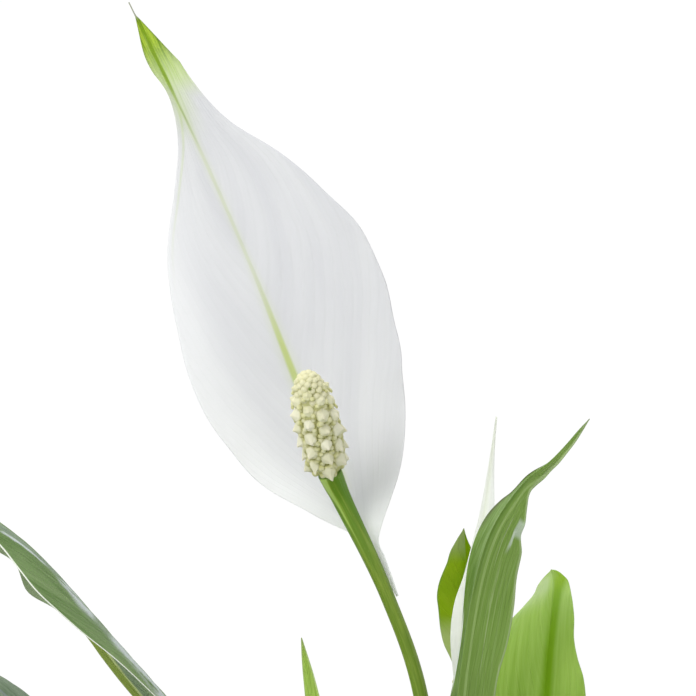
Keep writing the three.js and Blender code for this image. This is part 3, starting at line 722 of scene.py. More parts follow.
def leaf_piece(leaf, look):
    """A leaf from its root to its tip. Its round stalk opens out into the blade."""
    path = Path(leaf.points)
    on_stalk = np.linspace(0, 1, STALK_ROWS)[:-1]
    along = np.concatenate([on_stalk, 1 + TIP_SHARE * np.linspace(0, 1, leaf.rows)])
    reached = np.maximum(0, along - 1) * leaf.reach * (path.spans - leaf.stalk_spans)
    t = np.where(along < 1, along * leaf.stalk_spans, leaf.stalk_spans + reached) / path.spans
    centre, forward = path.at(t), path.tangent(t)
    along = along[:, None]
    v, q = np.maximum(0, along - 1), np.minimum(1, along)
    azimuth, roll = math.radians(leaf.azimuth), np.radians(run_through(leaf.roll, v))
    across = square_to(forward, np.array([-math.sin(azimuth), math.cos(azimuth), 0]))
    across = across * np.cos(roll) + np.cross(forward, across) * np.sin(roll)
    up = np.cross(forward, across)

    u, size = COLUMNS, abs(COLUMNS)
    near = blade_outline(v) if leaf.outline is None else run_through(leaf.outline, v)
    far = near if leaf.far_outline is None else run_through(leaf.far_outline, v)
    half_width = (leaf.width / 2) * np.maximum(np.where(u < 0, near, far), LEAST_WIDTH_SHARE)
    x = half_width * u
    phase = np.where(u < 0, leaf.wave_phase, leaf.wave_phase + leaf.wave_shift)
    wave = leaf.wave * np.sin(np.pi * v) * u * u * np.sin(2 * np.pi * leaf.waves * v + phase)
    vein = leaf.veins * (v - leaf.sweep * size**1.35) + VEIN_STARTS
    ridge = np.abs(np.sin(np.pi * vein)) ** 0.75 - 0.62
    fade = smoothstep(size, 0.03, 0.22) * smoothstep(size, 1.0, 0.72) * smoothstep(v, 0.02, 0.12)
    relief = leaf.quilt * ridge * fade * np.minimum(1, half_width / 9) * smoothstep(v, 0.99, 0.85)
    middle = half_width * (leaf.keel * size - leaf.arch * u * u) + wave + relief
    slim = np.minimum(1, 0.35 + half_width / 3)
    half = LEAF_HALF * math.hypot(1, leaf.keel) * (1 - 0.6 * size**2) * ROUNDING * slim
    rib = RIB_DEPTH * leaf.stalk_scale * (1 - v) ** 1.2 * bell(x, 1.35)
    channel = 0.5 * leaf.stalk_scale * (1 - v) * bell(x, 0.9) * smoothstep(v, 0, 0.06)

    joint = 1 + 0.14 * bell(along - 0.955, 0.03)
    radius = lerp(STALK_RADIUS, NECK_RADIUS, q) * leaf.stalk_scale * (1 - 0.75 * v) * joint
    sheath = 1 + SHEATH_SPREAD * (1 - q) ** 2
    angle = np.pi / 2 * (1 - u)
    gutter = 1 - 0.22 * bell(u, 0.33) * smoothstep(q, 0.95, 0.3)
    blade = smoothstep(v, 0, BLADE_FOOT)
    sideways = lerp(radius * sheath * np.cos(angle), x, blade)
    top = lerp(radius * np.sin(angle) * gutter, middle + half - channel, blade)
    bottom = lerp(-radius * np.sin(angle), middle - half - rib * ROUNDING, blade)
    upper, under = (
        centre[:, None] + across[:, None] * sideways[..., None] + up[:, None] * height[..., None]
        for height in (top, bottom)
    )
    thin_sheet(leaf.name, centre, upper, under, along, vein, sideways, look)


def arched_points(azimuth, root, stalk, blade, lean, droop, swing):
    """The points of a leaf that leans outward and bends over more and more towards its tip."""
    turned = math.radians(azimuth)
    x, y, z = root * math.cos(turned), root * math.sin(turned), SOIL_TOP - ROOT_DEPTH
    points = [(x, y, z)]
    lengths = [stalk / 2 + ROOT_DEPTH / 2] * 2 + [blade / 3] * 3
    for i, length in enumerate(lengths):
        share = i / (len(lengths) - 1)
        tilt = math.radians(lerp(lean, droop, share**1.6))
        heading = turned + math.radians(swing) * share * share
        x += length * math.sin(tilt) * math.cos(heading)
        y += length * math.sin(tilt) * math.sin(heading)
        z += length * math.cos(tilt)
        points.append((x, y, z))
    return points


def whorl_leaves(name, seed, count, start, root, stalk, blade, width, lean, droop):
    """Leaves all round the crown, each with its own small differences."""
    draw = seeded_draw(seed)
    leaves = []
    for i in range(count):
        azimuth = start + 360 * i / count + draw(-5, 5)
        size = stalk * draw(0.92, 1.06), blade * draw(0.92, 1.08)
        bend = lean + draw(-3, 3), droop + draw(-8, 8), draw(-14, 14)
        points = arched_points(azimuth, root, *size, *bend)
        own = dict(width=width * draw(0.9, 1.08), roll=(draw(-6, 6), draw(-12, 12)))
        own.update(wave_phase=draw(0, 6), wave_shift=draw(1, 4), wave=draw(1.2, 2.2))
        leaves.append(grown(f"leaf_{name}_{i + 1}", azimuth, points, reach=DROOPING_REACH, **own))
    return leaves


STANDING_LEAVES = [
    grown(
        "leaf_tall",
        -125,
        [(3, -5.5, 75), (3, -7, 140), (3.6, -9, 201), (4.6, -10, 234), (6.4, -11, 267), (12.3, -13, 297),
         (19.8, -15, 309.4), (26.9, -16.6, 315.8), (35.1, -18, 325.2)],
        width=11.5, keel=1, arch=0.2, wave=1.2, waves=3.5, wave_phase=1.5, rows=150, veins=7, sweep=1.2,
        quilt=0,
        outline=[0, 0.32, 0.7, 0.96, 1.2, 1.55, 1.75, 1.41, 0.98, 0.68, 0.78, 1.15, 1.44, 1.54, 1.28,
                 0.75, 0.42, 0.28, 0.24, 0.22, 0.22, 0.19, 0.14, 0.07, 0],
        far_outline=[0, 0.28, 0.6, 0.78, 0.9, 0.96, 1, 1.08, 1.16, 1.3, 1.25, 1.07, 0.98, 0.8, 0.79,
                     0.6, 0.34, 0.25, 0.2, 0.16, 0.19, 0.19, 0.16, 0.08, 0],
    ),
    grown(
        "leaf_back",
        100,
        [(5, 16.5, 75), (5, 22, 140), (6.5, 32, 205), (8, 42, 250), (9, 47, 276), (7.6, 50, 298.3)],
        width=16, stalk_spans=3, roll=(15, 15), wave=0.8, wave_phase=1, rows=90, veins=10, quilt=0.1,
        outline=[0, 0.14, 0.28, 0.36, 0.43, 0.5, 0.58, 0.68, 0.74, 0.77, 0.76, 0.72, 0.66, 0.54, 0.27,
                 0.09, 0],
        far_outline=[0, 0.14, 0.3, 0.38, 0.46, 0.6, 0.76, 0.86, 0.95, 1.02, 1.04, 0.94, 0.78, 0.61,
                     0.49, 0.25, 0],
    ),
    grown(
        "leaf_right",
        85,
        [(7, 4, 75), (12, 8, 135), (20.6, 17, 195), (24.2, 24, 232), (26.5, 34, 261), (28.8, 52, 282),
         (29.2, 72, 287.5)],
        width=31, roll=(-30, -30), keel=0.4, arch=0.2, wave=1.2, wave_phase=2, rows=130, veins=7,
        sweep=0.9, quilt=0,
        outline=[0, 0.29, 0.6, 0.72, 0.78, 0.83, 0.86, 0.88, 0.88, 0.88, 0.87, 0.81, 0.73, 0.62, 0.56,
                 0.56, 0.5, 0.41, 0.33, 0.27, 0.21, 0.16, 0.11, 0.06, 0],
        far_outline=[0, 0.28, 0.6, 0.77, 0.88, 0.97, 1.04, 1.09, 1.12, 1.12, 1.12, 1.12, 1.12, 1.12,
                     1.06, 0.95, 0.84, 0.69, 0.47, 0.3, 0.23, 0.17, 0.13, 0.08, 0],
    ),
    grown(
        "leaf_young",
        140,
        [(-5, 6, 75), (-9, 12, 130), (-14, 19, 178), (-19, 24, 213), (-25.8, 28, 247), (-31, 31, 273.3)],
        width=9, stalk_scale=0.85, roll=(-40, -75), keel=0.7, arch=0.3, wave=1, rows=100, veins=9,
        quilt=0.08,
    ),
    grown(
        "leaf_left",
        180,
        [(-6.5, -1.5, 75), (-14, -4, 150), (-45, -9, 236), (-67.9, -11, 267), (-97.8, -13, 299.7),
         (-130, -15, 314), (-163, -17, 309)],
        width=34, roll=(24, 25, 19, 5, 0, 0, 0, 0, 0), keel=0.05, wave=0.4, rows=150, veins=18,
        quilt=0.22,
        outline=[0, 0.3, 0.38, 0.38, 0.38, 0.38, 0.4, 0.44, 0.52, 0.86, 1.34, 0.94, 1.04, 0.85, 0.78,
                 0.76, 0.8, 0.76, 0.7, 0.62, 0.53, 0.42, 0.3, 0.16, 0],
        far_outline=[0, 0.35, 0.6, 0.7, 0.76, 0.8, 0.86, 0.9, 0.96, 0.93, 0.88, 0.68, 0.48, 0.5, 0.68,
                     0.76, 0.78, 0.76, 0.7, 0.62, 0.53, 0.42, 0.3, 0.16, 0],
    ),
    grown(
        "leaf_left_low",
        168,
        [(-12.5, 3.5, 75), (-24, 8, 140), (-50, 16, 205), (-79, 22, 234.8), (-105, 28, 262.7),
         (-133, 34, 274.5), (-162, 38, 268)],
        width=40, arch=0.4, wave=2, rows=130, veins=18,
    ),
]


# Blooms


def round_stalk(bloom, look):
    """A flower stalk with fine ridges along it."""
    path = Path(bloom.stalk)
    t = np.linspace(0, 1, STALK_RINGS)
    centre, forward = path.at(t), path.tangent(t)
    side = square_to(forward, np.array([1.0, 0, 0]))
    up = np.cross(forward, side)
    angle = around(STALK_SIDES)
    radius = run_through(bloom.radii, t)[:, None] * (1 + 0.018 * np.cos(7 * angle))
    spoke = side[:, None] * np.cos(angle)[:, None] + up[:, None] * np.sin(angle)[:, None]
    rings = centre[:, None] + spoke * radius[..., None]
    turned = np.arange(STALK_SIDES) / STALK_SIDES
    values = np.stack(np.broadcast_arrays(turned, t[:, None], rings[..., 2]), axis=-1)
    values = [*values.reshape(-1, 3), (0, 0, centre[0, 2]), (0, 1, centre[-1, 2])]
    vertices = np.vstack([rings.reshape(-1, 3), centre[0], centre[-1]])
    count = len(t) * STALK_SIDES
    faces = facing_out(vertices, ring_faces(len(t), STALK_SIDES, count, count + 1))
    obj = add_object(f"{bloom.name}_stalk_fine", vertices, faces, look, {"stem": values})
    dress(obj, f"{bloom.name}_stalk")


def spathe_piece(bloom, look):
    """A thin leaf behind the spadix, bent about its midrib, with its foot up the flower stalk."""
    spathe, stalk = bloom.spathe, Path(bloom.stalk)
    shares = np.array(spathe.sheath_from)
    away = np.array(spathe.sheath_side, float)
    offset = run_through(bloom.radii, shares) + SHEATH_GAP + SPATHE_THICKNESS / 2
    sheath = stalk.at(shares) + square_to(stalk.tangent(shares), away) * offset[:, None]
    path = Path([*sheath, *spathe.midrib])

    t = np.linspace(0, 1, spathe.rows)
    centre, forward = path.at(t), path.tangent(t)
    t = t[:, None]
    front = lerp(-away, np.array(spathe.front, float), smoothstep(t, 0.08, 0.28))
    front = square_to(forward, front)
    across = np.cross(front, forward)
    turned = lambda a, b: front[:, None] * a[..., None] + across[:, None] * b[..., None]

    u, size = COLUMNS, abs(COLUMNS)
    open_part = smoothstep(t, 0.24, 0.4)
    ripple = np.sin(spathe.waves * 5 * t + 3 * np.sign(u)) * smoothstep(t, 0.27, 0.33)
    point = np.clip((spathe.thread - t) / (spathe.thread - 0.9), 0, 1) ** 0.85
    width = np.where(u < 0, run_through(spathe.right, t), run_through(spathe.left, t))
    width = np.maximum(THREAD_WIDTH, width * (1 + spathe.ripple * ripple) * point)
    x = u * width
    curvature = run_through(spathe.curvature, t)
    turn = curvature * x
    wave = spathe.wave * np.sin(np.pi * t) * u * u * np.sin(spathe.waves * t + 2 * np.sign(u))
    vein = spathe.veins * (t - 0.42 * size**1.2) + VEIN_STARTS
    fade = smoothstep(size, 0.02, 0.2) * smoothstep(size, 1, 0.8) * smoothstep(t, 1, 0.85)
    relief = spathe.quilt * (np.abs(np.sin(np.pi * vein)) ** 0.8 - 0.6) * fade * open_part
    outward = (1 - np.cos(turn)) / curvature + wave + relief
    middle = centre[:, None] + turned(outward, np.sin(turn) / curvature)
    normal = turned(np.cos(turn), -np.sin(turn))
    half = SPATHE_HALF * (1 - 0.45 * size**2) * ROUNDING
    rib = spathe.rib * smoothstep(t, 0.98, 0.3) * bell(x, 1) * open_part
    upper = middle + normal * (half - 0.35 * rib)[..., None]
    under = middle - normal * (half + rib)[..., None]
    thin_sheet(f"{bloom.name}_spathe", centre, upper, under, t, vein, x, look)


# Radii and heights of the florets' rings.
BEAK = [(0.98, -0.4), (1.02, 0.1), (0.98, 0.4), (0.86, 0.7), (0.62, 1), (0.4, 1.35), (0.22, 1.7)]
BEAK += [(0.1, 1.9), (0, 1.92)]
PAD = [(1, -0.3), (1, 0.1), (0.8, 0.38), (0.45, 0.55), (0, 0.6)]
BLUNT = [(1, -0.4), (1, 0.1), (0.86, 0.42), (0.5, 0.7), (0.2, 0.84), (0, 0.86)]


def knob(rings, sides, tall=1.0, ridges=0):
    """The points and faces of a blunt beaked knob along +z, of unit width. Soft ridges run up it
    where ridges isn't 0."""
    angle = around(sides)
    radii, heights = np.array(rings[:-1]).T[..., None]
    folds = np.clip(heights, 0, 1) * np.cos(ridges * angle) * (ridges > 0)
    wide = radii * (1 + FLORET_FOLD * folds)
    points = np.broadcast_arrays(wide * np.cos(angle), tall * wide * np.sin(angle), heights)
    points = np.vstack([np.stack(points, axis=-1).reshape(-1, 3), (0, 0, rings[-1][1])])
    return points, ring_faces(len(rings) - 1, sides, head=len(points) - 1)


def spadix_piece(bloom, look):
    """A finger of beaked florets in staggered columns, on a core, each with small pads round its
    foot. The attribute floret holds the height in a floret, the share along, and a draw."""
    spadix = bloom.spadix
    length, girth, size = spadix.length, spadix.girth, spadix.knob
    levels = 2 * round(length / FLORET_PITCH)
    cell = np.pi * girth / spadix.columns
    draw = seeded_draw(spadix.seed)
    vertices, faces, values = [], [], []

    def height_at(share):
        return length * share * (1 - SPADIX_CROWDING * share)

    def girth_at(share, least):
        return girth * np.minimum(1, 0.8 + 0.5 * share) * np.sqrt(np.maximum(least, 1 - share**5))

    def seat(turn, share, outward, upward, least=SPADIX_POINT):
        """A place on the core, and the directions beside, along and out of a floret there."""
        x, y = math.cos(turn), math.sin(turn)
        radial, beside = np.array([(x, y, 0), (-y, x, 0)])
        out = unit(radial * outward + [0, 0, upward])
        place = radial * girth_at(share, least) + [0, 0, height_at(share)]
        return place, np.array([beside, np.cross(out, beside), out])

    def keep(points, new_faces, heights, share, own):
        start = sum(len(v) for v in vertices)
        vertices.append(points)
        faces.extend(tuple(start + k for k in f) for f in new_faces)
        values.append(np.stack(np.broadcast_arrays(heights, share, own), axis=-1))

    rounded_end = 0.9 + 0.1 * np.sin(np.linspace(0, np.pi / 2, 14)[1:])
    s = np.concatenate([np.linspace(0, 0.9, 40), rounded_end])
    angle = around(SPADIX_SIDES)
    core = girth_at(s, SPADIX_POINT)
    core[0] *= 0.75
    circle = np.stack([np.cos(angle), np.sin(angle), 0 * angle], axis=-1)
    rings = core[:, None, None] * circle + height_at(s)[:, None, None] * [0, 0, 1]
    points = np.vstack([rings.reshape(-1, 3), (0, 0, -0.4), (0, 0, height_at(s)[-1] + 0.05)])
    count = len(s) * SPADIX_SIDES
    shares = np.concatenate([np.repeat(s, SPADIX_SIDES), [0, 1]])
    keep(points, ring_faces(len(s), SPADIX_SIDES, count, count + 1), 0, shares, 0.5)

    beak, beak_faces = knob(BEAK, 18, 1.12, 5)
    beak_share = np.clip(beak[:, 2] / BEAK[-1][1], 0, 1)
    pad, pad_faces = knob(PAD, 8)
    for column in range(spadix.columns):
        for level in range(column % 2 + 1, levels, 2):
            share = level / levels
            if share > FLORETS_TO:
                continue
            turn = 2 * np.pi * column / spadix.columns + SPADIX_TWIST * level
            place, axes = seat(turn, share, 1 - 0.5 * share, 1.05 * share - 0.38, 0.05)
            wide = 0.98 * cell * math.sqrt(max(0.3, 1 - share**4)) * draw(0.86, 1.06)
            tall = size * (1.04 - 0.62 * share**2) * draw(0.74, 1.14)
            lean = np.array([draw(-0.16, 0.16), draw(-0.3, -0.1) * (1 - share)])
            local = beak * [wide, wide, tall]
            local[:, :2] += np.clip(beak[:, 2:], 0, None) ** 2 * lean * wide
            own = draw(0, 1)
            keep(place + local @ axes, beak_faces, beak_share, share, own)
            for k in range(PAD_COUNT):
                toward = 2 * np.pi * (k + 0.5) / PAD_COUNT + draw(-0.2, 0.2)
                spot = [math.cos(toward) * wide * 1.1, math.sin(toward) * wide * 1.34, 0]
                local = pad * [0.5 * wide, 0.5 * wide, 1.2 * tall] + spot
                keep(place + local @ axes, pad_faces, 0.4 * pad[:, 2], share, own)

    blunt, blunt_faces = knob(BLUNT, 12)
    on_dome = lambda turn, share: seat(turn, share, (1 - share) * 3, share - 0.55)
    for k in range(DOME_COUNT):
        share = DOME_FROM + (1 - DOME_FROM) * ((k + 0.5) / DOME_COUNT) ** 0.75
        place, axes = on_dome(k * math.pi * (3 - math.sqrt(5)), share)
        local = blunt * [0.5 * cell, 0.5 * cell, BLUNT_HEIGHT * size * draw(0.8, 1.2)]
        keep(place + local @ axes, blunt_faces, 0.7 + 0.3 * blunt[:, 2], share, draw(0, 1))
    for share, degrees in spadix.pores:
        place, axes = on_dome(math.radians(degrees), share)
        local = blunt * [0.36, 0.36, 0.2] + [0, 0, BLUNT_HEIGHT * size]
        keep(place + local @ axes, blunt_faces, blunt[:, 2], PORE_SHARE, 0.5)

    upright, direction = Vector((0, 0, 1)), Vector(spadix.direction).normalized()
    turn = np.array(upright.rotation_difference(direction).to_matrix())
    placed = np.vstack(vertices) @ turn.T + spadix.foot
    attributes = {"floret": np.vstack(values)}
    obj = add_object(f"{bloom.name}_spadix_fine", placed, faces, look, attributes)
    dress(obj, f"{bloom.name}_spadix")


BLOOMS = [
    SimpleNamespace(
        name="bloom_open",
        stalk=[(1, 1.5, 75), (1.6, 3, 122), (1.6, 4, 168), (0.6, 4, 214), (-3.3, 2.4, 261),
               (-11.1, -2, 284.3), (-21.4, -8, 306.4), (-24.2, -11.9, 312.6)],
        radii=[2.3, 2.1, 1.95, 1.85, 1.7, 1.65, 2.25, 2.8],
        spathe=SimpleNamespace(
            sheath_from=(0.705, 0.785), sheath_side=(0.75, 0.65, 0), front=(0, -1, 0),
            midrib=[(-29, 6, 326.6), (-41.8, 10, 358.4), (-55.6, 11, 389.8), (-70.6, 5, 420.8)],
            left=[0.3, 0.7, 1.2, 2, 9.9, 17.6, 21.8, 23.7, 22.8, 20.7, 17.2, 10.7, 4.2, 1.3, 3.2, 2],
            right=[0.3, 0.7, 1.2, 2.4, 14.6, 20.8, 25.7, 27.8, 29, 27.7, 22.7, 17, 9.2, 5.4, 4.3, 4],
            curvature=[0.38, 0.34, 0.12, 0.03, 0.024, 0.02, 0.018, 0.018, 0.025, 0.06, 0.1],
            thread=0.982, ripple=0.004, wave=1.2, waves=14, rows=240, veins=26, quilt=0.03, rib=0.55,
        ),
        spadix=SimpleNamespace(
            foot=(-24.5, -12.6, 313.6), direction=(-0.185, -0.574, 0.8), length=28.1, girth=4.3,
            columns=8, knob=1, seed=41, pores=[(0.9, -84)],
        ),
    ),
    SimpleNamespace(
        name="bloom_young",
        stalk=[(5, 10, 75), (5.4, 12, 122), (5.6, 15, 170), (5.8, 18, 216), (6.6, 21, 259)],
        radii=[2.1, 1.9, 1.7, 1.6, 1.9],
        spathe=SimpleNamespace(
            sheath_from=(0.86, 0.94), sheath_side=(0, -1, 0), front=(0.4, 0.92, 0),
            midrib=[(7.4, 15, 273.8), (9.3, 14.5, 287.6), (12, 15, 303.7), (14.6, 18, 325)],
            left=[0.9, 1.3, 1.8, 3, 6.5, 7.5, 6.5, 4.4, 2.2, 0.8, 0.2],
            right=[0.9, 1.3, 1.8, 2.4, 5.1, 4.9, 2.9, 1.9, 1.2, 0.6, 0.2],
            curvature=[0.37, 0.3, 0.16, 0.14, 0.14, 0.14, 0.16, 0.3],
            thread=1.4, ripple=0, wave=0.3, waves=9, rows=110, veins=18, quilt=0.04, rib=0.35,
        ),
        spadix=SimpleNamespace(
            foot=(6.7, 21.1, 259.8), direction=(0.08, 0.02, 1), length=23, girth=2.3, columns=6,
            knob=0.28, seed=17, pores=[],
        ),
    ),
]


# Pot and soil


def pot_bore(z):
    """The radius of the pot's inner wall at a height."""
    return lerp(POT_FOOT_RADIUS, POT_RIM_RADIUS - RIM_BAND_STEP, z / POT_HEIGHT) - POT_WALL


def quarter(x, z, radius, start, end, steps=5):
    """Points of a small arc about (x, z), with its angles in degrees."""
    angles = np.radians(np.linspace(start, end, steps))
    return [(x + radius * math.cos(a), z + radius * math.sin(a)) for a in angles]


def turned_points(profile, sides, x=0, y=0):
    """Rings about an upright axis, from a profile of radii and heights."""
    return [(x + r * math.cos(a), y + r * math.sin(a), z) for r, z in profile for a in around(sides)]


def capped_faces(rows, sides):
    """Quads between rings, and a polygon at each end."""
    last = (rows - 1) * sides
    return [*ring_faces(rows, sides), tuple(range(sides - 1, -1, -1)), tuple(range(last, last + sides))]


def pot_piece(look):
    """A turned pot, from its foot up the outside and down the inside, with drain holes drilled in it."""
    outer = lambda z: pot_bore(z) + POT_WALL
    band, top = POT_HEIGHT - RIM_BAND_HEIGHT, POT_HEIGHT - RIM_ROUND
    under = outer(band)
    foot = POT_FOOT_RADIUS - POT_FOOT_ROUND
    profile = [(foot, 0), *quarter(foot, POT_FOOT_ROUND, POT_FOOT_ROUND, -70, 0)]
    profile += [(outer(z), z) for z in np.linspace(4, band - 0.4, 14)]
    profile += [(under + 0.35, band - 0.1), (under + 1.7, band + 0.45), (under + 2.35, band + 0.95)]
    for k in (0, 0.3, 0.6, 0.95):
        height = lerp(band + RIM_BAND_UNDERSIDE, top, k)
        profile.append((lerp(under + RIM_BAND_STEP, POT_RIM_RADIUS, k), height))
    profile += quarter(POT_RIM_RADIUS - RIM_ROUND, top, RIM_ROUND, 0, 90)
    inner, lip = pot_bore(POT_HEIGHT) + RIM_INNER_ROUND, POT_HEIGHT - RIM_INNER_ROUND
    profile += quarter(inner, lip, RIM_INNER_ROUND, 90, 180)
    profile += [(pot_bore(z), z) for z in np.linspace(POT_HEIGHT - 3, POT_FLOOR + 2, 12)]
    corner = pot_bore(POT_FLOOR) - POT_INNER_ROUND, POT_FLOOR + POT_INNER_ROUND
    profile += quarter(*corner, POT_INNER_ROUND, 0, -90)
    points = turned_points(profile, POT_SIDES)
    obj = add_object("pot_fine", points, capped_faces(len(profile), POT_SIDES), look)

    drills = []
    ends = [(DRAIN_RADIUS, -DRILL_SPARE), (DRAIN_RADIUS, POT_FLOOR + DRILL_SPARE)]
    for i, turn in enumerate(around(DRAIN_COUNT)):
        x, y = DRAIN_RING_RADIUS * math.cos(turn), DRAIN_RING_RADIUS * math.sin(turn)
        points = turned_points(ends, DRAIN_SIDES, x, y)
        drills.append(add_object(f"drill_{i}", points, capped_faces(2, DRAIN_SIDES), look))
        cut = obj.modifiers.new(f"drain_{i}", "BOOLEAN")
        cut.operation = "DIFFERENCE"
        cut.solver = "EXACT"
        cut.object = drills[-1]
    graph = bpy.context.evaluated_depsgraph_get()
    mesh = bpy.data.meshes.new_from_object(obj.evaluated_get(graph))
    obj.modifiers.clear()
    obj.data = mesh
    for drill in drills:
        bpy.data.objects.remove(drill)
    mesh.polygons.foreach_set("use_smooth", [True] * len(mesh.polygons))
    mesh.set_sharp_from_angle(angle=math.radians(SHARP_DEGREES))
    dress(obj, "pot")


def soil_relief(x, y):
    """How far the soil's surface stands above its mean level: low mounds, with crumbs on them."""
    mounds = np.sin(0.11 * x + 1.3) * np.cos(0.13 * y - 0.4)
    crumbs = np.sin(0.61 * x + 0.37 * y) * np.sin(0.53 * y - 0.29 * x + 2)
    return SOIL_ROUGHNESS * (0.6 * mounds + 0.5 * crumbs)


def grain(draw):
    """An uneven grain of unit size: its points and faces."""
    t = (1 + math.sqrt(5)) / 2
    points = [(-1, t, 0), (1, t, 0), (-1, -t, 0), (1, -t, 0), (0, -1, t), (0, 1, t)]
    points += [(0, -1, -t), (0, 1, -t), (t, 0, -1), (t, 0, 1), (-t, 0, -1), (-t, 0, 1)]
    faces = [(0, 11, 5), (0, 5, 1), (0, 1, 7), (0, 7, 10), (0, 10, 11), (1, 5, 9), (5, 11, 4)]
    faces += [(11, 10, 2), (10, 7, 6), (7, 1, 8), (3, 9, 4), (3, 4, 2), (3, 2, 6), (3, 6, 8)]
    faces += [(3, 8, 9), (4, 9, 5), (2, 4, 11), (6, 2, 10), (8, 6, 7), (9, 8, 1)]
    points = [Vector(p).normalized() for p in points]
    middles = {}

    def between(a, b):
        key = (min(a, b), max(a, b))
        if key not in middles:
            middles[key] = len(points)
            points.append(((points[a] + points[b]) / 2).normalized())
        return middles[key]

    split = []
    for a, b, c in faces:
        ab, bc, ca = between(a, b), between(b, c), between(c, a)
        split += [(a, ab, ca), (b, bc, ab), (c, ca, bc), (ab, bc, ca)]
    points = np.array([p * draw(0.8, 1.15) for p in points])
    return points * [draw(0.85, 1.25), draw(0.8, 1.1), draw(0.6, 0.9)], split


def soil_piece(stalks, peat, perlite):
    """Peat up to its level in the pot, with loose crumbs and white grains on it. A low collar of soil
    stands round each stalk."""
    top_radius = pot_bore(SOIL_TOP - SOIL_ROUGHNESS) - SOIL_GAP
    collar = lambda x, y: sum(0.9 * np.exp(-((x - a) ** 2 + (y - b) ** 2) / 9.0) for a, b in stalks)

    def surface(x, y):
        fine = 0.35 * np.sin(1.9 * x + 0.8 * y) * np.sin(1.6 * y - 1.1 * x + 1)
        fine += 0.2 * np.sin(3.7 * x - 2.9 * y)
        edge = np.clip((top_radius - np.hypot(x, y)) / 3, 0, 1)
        return SOIL_TOP + soil_relief(x, y) + edge * (fine + np.minimum(1.2, collar(x, y)))

    angle = around(SOIL_SIDES)
    bottom = POT_FLOOR + SOIL_GAP
    low = pot_bore(bottom) - 2 * SOIL_GAP
    rings = [np.stack([low * np.cos(angle), low * np.sin(angle), 0 * angle + bottom], axis=-1)]
    for share in np.linspace(1, 0, SOIL_RINGS + 1)[:-1]:
        x, y = share * top_radius * np.cos(angle), share * top_radius * np.sin(angle)
        rings.append(np.stack([x, y, surface(x, y)], axis=-1))
    vertices = np.vstack([*rings, (0, 0, bottom), (0, 0, float(surface(0.0, 0.0)))])
    count = len(rings) * SOIL_SIDES
    faces = ring_faces(len(rings), SOIL_SIDES, count, count + 1)
    slots = [0] * len(faces)

    draw = seeded_draw(SOIL_SEED)
    parts, start = [vertices], len(vertices)
    shapes = [grain(draw) for _ in range(GRAIN_SHAPES)]
    for i in range(CRUMB_COUNT + PERLITE_COUNT):
        white = i >= CRUMB_COUNT
        size = draw(0.7, 1.7) if white else draw(0.5, 1.0) * draw(0.8, 2.2)
        far = (top_radius - 1.3 * size - SOIL_GAP) * math.sqrt(draw(0, 1))
        turn = draw(0, 2 * math.pi)
        x, y = far * math.cos(turn), far * math.sin(turn)
        points, grain_faces = shapes[int(draw(0, GRAIN_SHAPES - 0.001))]
        spin = Matrix.Rotation(draw(0, 2 * math.pi), 3, "Z") @ Matrix.Rotation(draw(-0.7, 0.7), 3, "X")
        if any(math.hypot(x - a, y - b) < STALK_CLEARANCE + size for a, b in stalks):
            continue
        centre = [x, y, float(surface(x, y)) + size * draw(0.05, 0.4)]
        parts.append(points @ np.array(spin).T * size + centre)
        faces += [tuple(start + k for k in f) for f in grain_faces]
        slots += [1 if white else 0] * len(grain_faces)
        start += len(points)
    obj = add_object("soil_fine", np.vstack(parts), faces, [peat, perlite])
    obj.data.polygons.foreach_set("material_index", slots)
    dress(obj, "soil")


# The plant

# Name, seed, count, first azimuth, distance of the roots, lengths of stalk and blade, width, and the
# degrees from upright at the root and at the tip.
WHORLS = [
    ("outer", 11, 9, 25, 27, 62, 104, 42, 28, 112),
    ("middle", 5, 8, 50, 20.5, 88, 112, 42, 18, 104),
    ("inner", 23, 4, 15, 14, 104, 104, 38, 12, 88),
]

